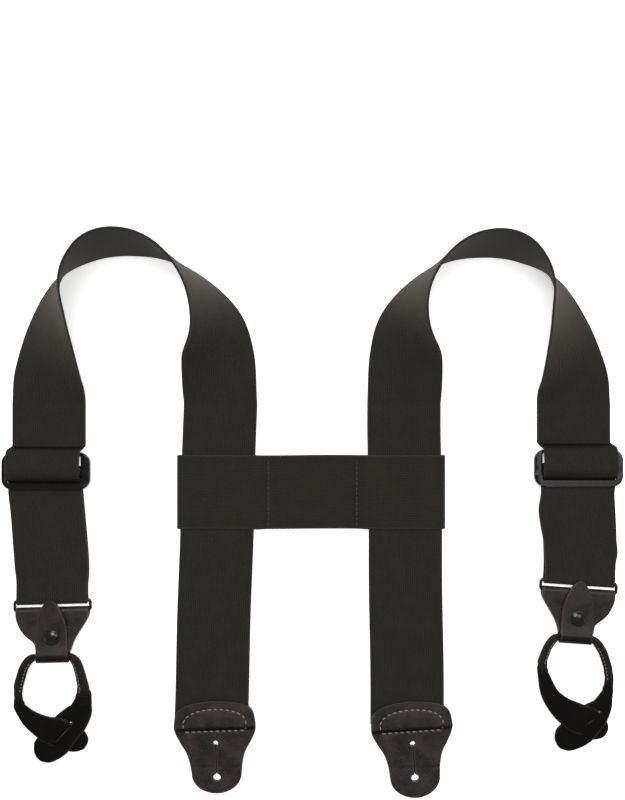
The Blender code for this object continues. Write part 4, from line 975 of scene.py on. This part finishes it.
def build_loop(side):
    hinge = f"{side}_button_loop_hinge"
    at_neck = at_hinge(hinge)
    rows, middle = loop_rows(side)
    rows = curve_through(rows, spacing=0.0011)
    rings, worn, centre, inner = loop_rings(rows, at_neck)
    split = next(i for i, r in enumerate(rows) if r[5] < 0.97)
    under = sweep(f"{side}_loop_under_end", rings[:split + 1], BLACK_LEATHER, wear=worn[:split + 1],
                  tone=rows[:split + 1, 5])
    loop = sweep(f"{side}_loop_leather", rings[split:], BLACK_LEATHER, wear=worn[split:], tone=rows[split:, 5])

    # The slit that the other end passes through
    bpy.ops.mesh.primitive_cube_add(size=1.0)
    cutter = bpy.context.object
    corner = [np.array(v.co) for v in cutter.data.vertices]
    at_slit = local(at_neck(*middle, 0.0)[:2], hinge_tilt(hinge) + LOOPS[side]["angle"])
    for vertex, co in zip(cutter.data.vertices, corner):
        vertex.co = at_slit(co[0] * 0.0210, co[1] * 0.0018, 0.003 + co[2] * 0.02)
    cut = under.modifiers.new("slit", "BOOLEAN")
    cut.operation, cut.solver, cut.object = "DIFFERENCE", "EXACT", cutter
    bpy.context.view_layer.update()
    opened = bpy.data.meshes.new_from_object(under.evaluated_get(bpy.context.evaluated_depsgraph_get()))
    under.modifiers.clear()
    under.data = opened
    bpy.data.objects.remove(cutter)
    ends = [at_slit(x, 0.0, 0.0) for x in (-0.0105, 0.0105)]
    co = np.array([v.co for v in opened.vertices])
    raw = distance_to(co[:, :2], ends, False) < 0.0011
    worn = np.zeros(len(co), np.float32)
    opened.attributes["wear"].data.foreach_get("value", worn)
    opened.attributes["wear"].data.foreach_set("value", np.where(raw, 1.0, worn).astype(np.float32))
    opened.shade_smooth()
    opened.set_sharp_from_angle(angle=math.radians(42))
    hold(under, f"{side}_button_loop", "leather", f"{side}_button_loop_under_end")
    hold(loop, f"{side}_button_loop", "leather", f"{side}_button_loop_roll", f"{side}_button_loop_over_end")

    core = [i for i, r in enumerate(rows) if r[5] < 0.04]
    turn = np.linspace(0, 2 * math.pi, 10, endpoint=False)
    cords = [[centre[i] + (inner[i] * math.cos(a) + np.array((0, 0, 1)) * math.sin(a)) * 0.0014 for a in turn]
             for i in core]
    hold(sweep(f"{side}_loop_cord", cords, CORD), f"{side}_button_loop", "cord", f"{side}_button_loop_core")

    for leg, sign in (("left", -1), ("right", 1)):
        line = [i for i, r in enumerate(rows) if r[5] < 0.2 and r[1] < -0.0030 and r[0] * sign > 0.0]
        column = 4 if sign == SIGN[side] else 6
        path = [rings[i][column] + np.array((0, 0, 0.00008)) for i in line]
        row = stitches(f"{side}_loop_stitches_{leg}", path, THREAD, 0.0015, 0.0009, 0.00027)
        hold(row, f"{side}_button_loop", "thread", f"{side}_button_loop_thread_{leg}")


# Back tabs

def tab_outline(side, inset=0.0):
    """Down one side of the tab and up the other: arched top, square shoulders, waist and round tongue."""
    length, wide, tongue = TAB_LENGTH[side], 0.0277 - inset, 0.0172 - inset
    half = [(0.0, 0.0012 - inset), (0.0110, -inset), (0.0200, -0.0020 - inset),
            (wide - 0.0016, -0.0064 - inset), (wide, -0.0120), (wide + 0.0001, -0.0205),
            (wide - 0.0030, -0.0275), (tongue + 0.0030, -0.0355), (tongue + 0.0008, -0.0440),
            (tongue, -0.0500 * length / 0.0636)]
    half = [tuple(p) for p in curve_through(half, spacing=0.0012)]
    tip = half[-1][1]
    drop = length - inset + tip
    for i in range(1, 17):
        angle = math.radians(90 * i / 16)
        half.append((tongue * math.cos(angle), tip - drop * math.sin(angle)))
    half[-1] = (0.0, half[-1][1])
    return half + [(-x, y) for x, y in reversed(half[1:-1])]


def keyhole(widen=0.0, lean=0.0):
    """A buttonhole: a small round end, a slit that leans through the leather, and a larger round end."""
    found = []
    slot = 0.00028 + widen
    for centre, radius, start in ((-0.0290, 0.0018, 0), (-0.0528, 0.00265, 180)):
        neck = math.degrees(math.asin(slot / (radius + widen)))
        for i in range(21):
            angle = math.radians(start - 90 + neck + (360 - 2 * neck) * i / 20)
            edge_on = i in (0, 20)
            found.append(((radius + widen) * math.cos(angle) + lean * edge_on,
                          centre + (radius + widen) * math.sin(angle)))
    return found


def stitch_line():
    """The D that holds the webbing's end: a straight foot and a flat arch."""
    half = 0.0217
    arch = [(half * math.cos(a), -0.0160 + 0.0112 * math.sin(a) ** 0.75)
            for a in np.radians(np.arange(0, 181, 6))]
    arch = [(half - 0.0006, STEP_FOOT_Y + 0.0010)] + arch + [(-half + 0.0006, STEP_FOOT_Y + 0.0010)]
    foot = [(x, STEP_FOOT_Y - 0.0002) for x in np.linspace(-half + 0.0010, half - 0.0010, 24)]
    return arch, foot


def build_tab(side):
    at_tab = local(TAB_TOP[side], TAB_TILT[side])
    outer_level = BACK_LEVEL + WEBBING_THICKNESS / 2 + GAP + LEATHER_THICKNESS / 2
    arch, foot = stitch_line()

    def settle(x, y):
        share = np.clip((STEP_TOP_Y - y) / (STEP_TOP_Y - STEP_FOOT_Y), 0, 1)
        return -STEP_DEPTH * share * share * (3 - 2 * share)

    def rise(x, y, top):
        plan = np.stack([x, y], axis=1)
        near = np.minimum(distance_to(plan, arch, False), distance_to(plan, foot, False))
        groove = np.exp(-(near / 0.0008) ** 2)
        inside = np.clip((y - STEP_FOOT_Y) / 0.004, 0, 1) * np.exp(-((y + 0.0120) / 0.0062) ** 2)
        inside = inside * np.clip((0.0215 - np.abs(x)) / 0.006, 0, 1)
        wave = 0.00014 * np.sin(x * 260 + 0.7) * np.sin(y * 190 + 1.9)
        crease = -0.00012 * np.exp(-((y + 0.0455 + 0.05 * x) / 0.0009) ** 2) * (np.abs(x) > 0.0012)
        return settle(x, y) + np.where(top, -0.00024 * groove + 0.00034 * inside + crease, 0.0) + wave

    # Painted shade: a near-black band along the step above the D's foot, where the leather drops down to the
    # tongue
    outer = plate(f"{side}_tab_leather", [tab_outline(side), keyhole()], LEATHER_THICKNESS, at_tab, outer_level,
                  LEATHER, 0.00075, 0.00042, rise, lambda x, y: 0.95 * np.exp(-((y + 0.0188) / 0.0019) ** 2))
    hold(outer, f"{side}_strap", "leather", f"{side}_back_tab_outer")
    lining = plate(f"{side}_tab_lining", [tab_outline(side, 0.0006), keyhole(0.0002, 0.0009)], LINING_THICKNESS,
                   at_tab, LINING_THICKNESS / 2 + 0.0001, LINING, 0.0022, 0.0003)
    hold(lining, f"{side}_strap", "lining_leather", f"{side}_back_tab_lining")
    top = outer_level + LEATHER_THICKNESS / 2 - 0.00012

    def laid(line):
        return [at_tab(x, y, top + float(settle(x, y))) for x, y in line]

    one = stitches(f"{side}_tab_stitches_arch", laid(arch), THREAD, 0.0027, 0.0014, 0.00037)
    hold(one, f"{side}_strap", "thread", f"{side}_back_tab_stitching")
    two = stitches(f"{side}_tab_stitches_foot", laid(foot), THREAD, 0.0027, 0.0015, 0.00037)
    hold(two, f"{side}_strap", "thread")


build_crosspiece()
for name in ("left", "right"):
    build_strap(name)
    build_front(name)
    build_slider(name)
    build_ring(name)
    build_yoke(name)
    build_keeper(name)
    build_rivet(name)
    build_loop(name)
    build_tab(name)


# Floor, light and air

def build_stage():
    bpy.ops.mesh.primitive_plane_add(size=6.0, location=(0.0, 0.0, -0.00005))
    floor = bpy.context.object
    floor.name = "floor"
    n = Nodes("floor")
    tone = n.mix(n.noise(30.0, 3.0, 0.5), rgb(0.87, 0.87, 0.865), rgb(0.90, 0.90, 0.895))
    floor.data.materials.append(n.finish(Base_Color=tone, Roughness=0.95, Specular_IOR_Level=0.1,
                                         Emission_Color=rgb(1.0, 1.0, 1.0), Emission_Strength=0.5))
    world = bpy.data.worlds.new("studio")
    world.use_nodes = True
    world.node_tree.nodes["Background"].inputs["Color"].default_value = rgb(1.0, 1.0, 1.0)
    world.node_tree.nodes["Background"].inputs["Strength"].default_value = 0.34
    bpy.context.scene.world = world
    for name, place, size, power in (("key", (-0.15, 0.50, 1.15), 0.75, 16.0),
                                     ("fill", (0.60, 0.20, 1.10), 0.6, 4.0)):
        light = bpy.data.lights.new(name, "AREA")
        light.energy = power
        light.size = size
        lamp = bpy.data.objects.new(name, light)
        lamp.location = place
        lamp.rotation_euler = (-Vector(place)).to_track_quat("-Z", "Y").to_euler()
        bpy.context.scene.collection.objects.link(lamp)
    bpy.context.scene.view_settings.view_transform = "Standard"


build_stage()
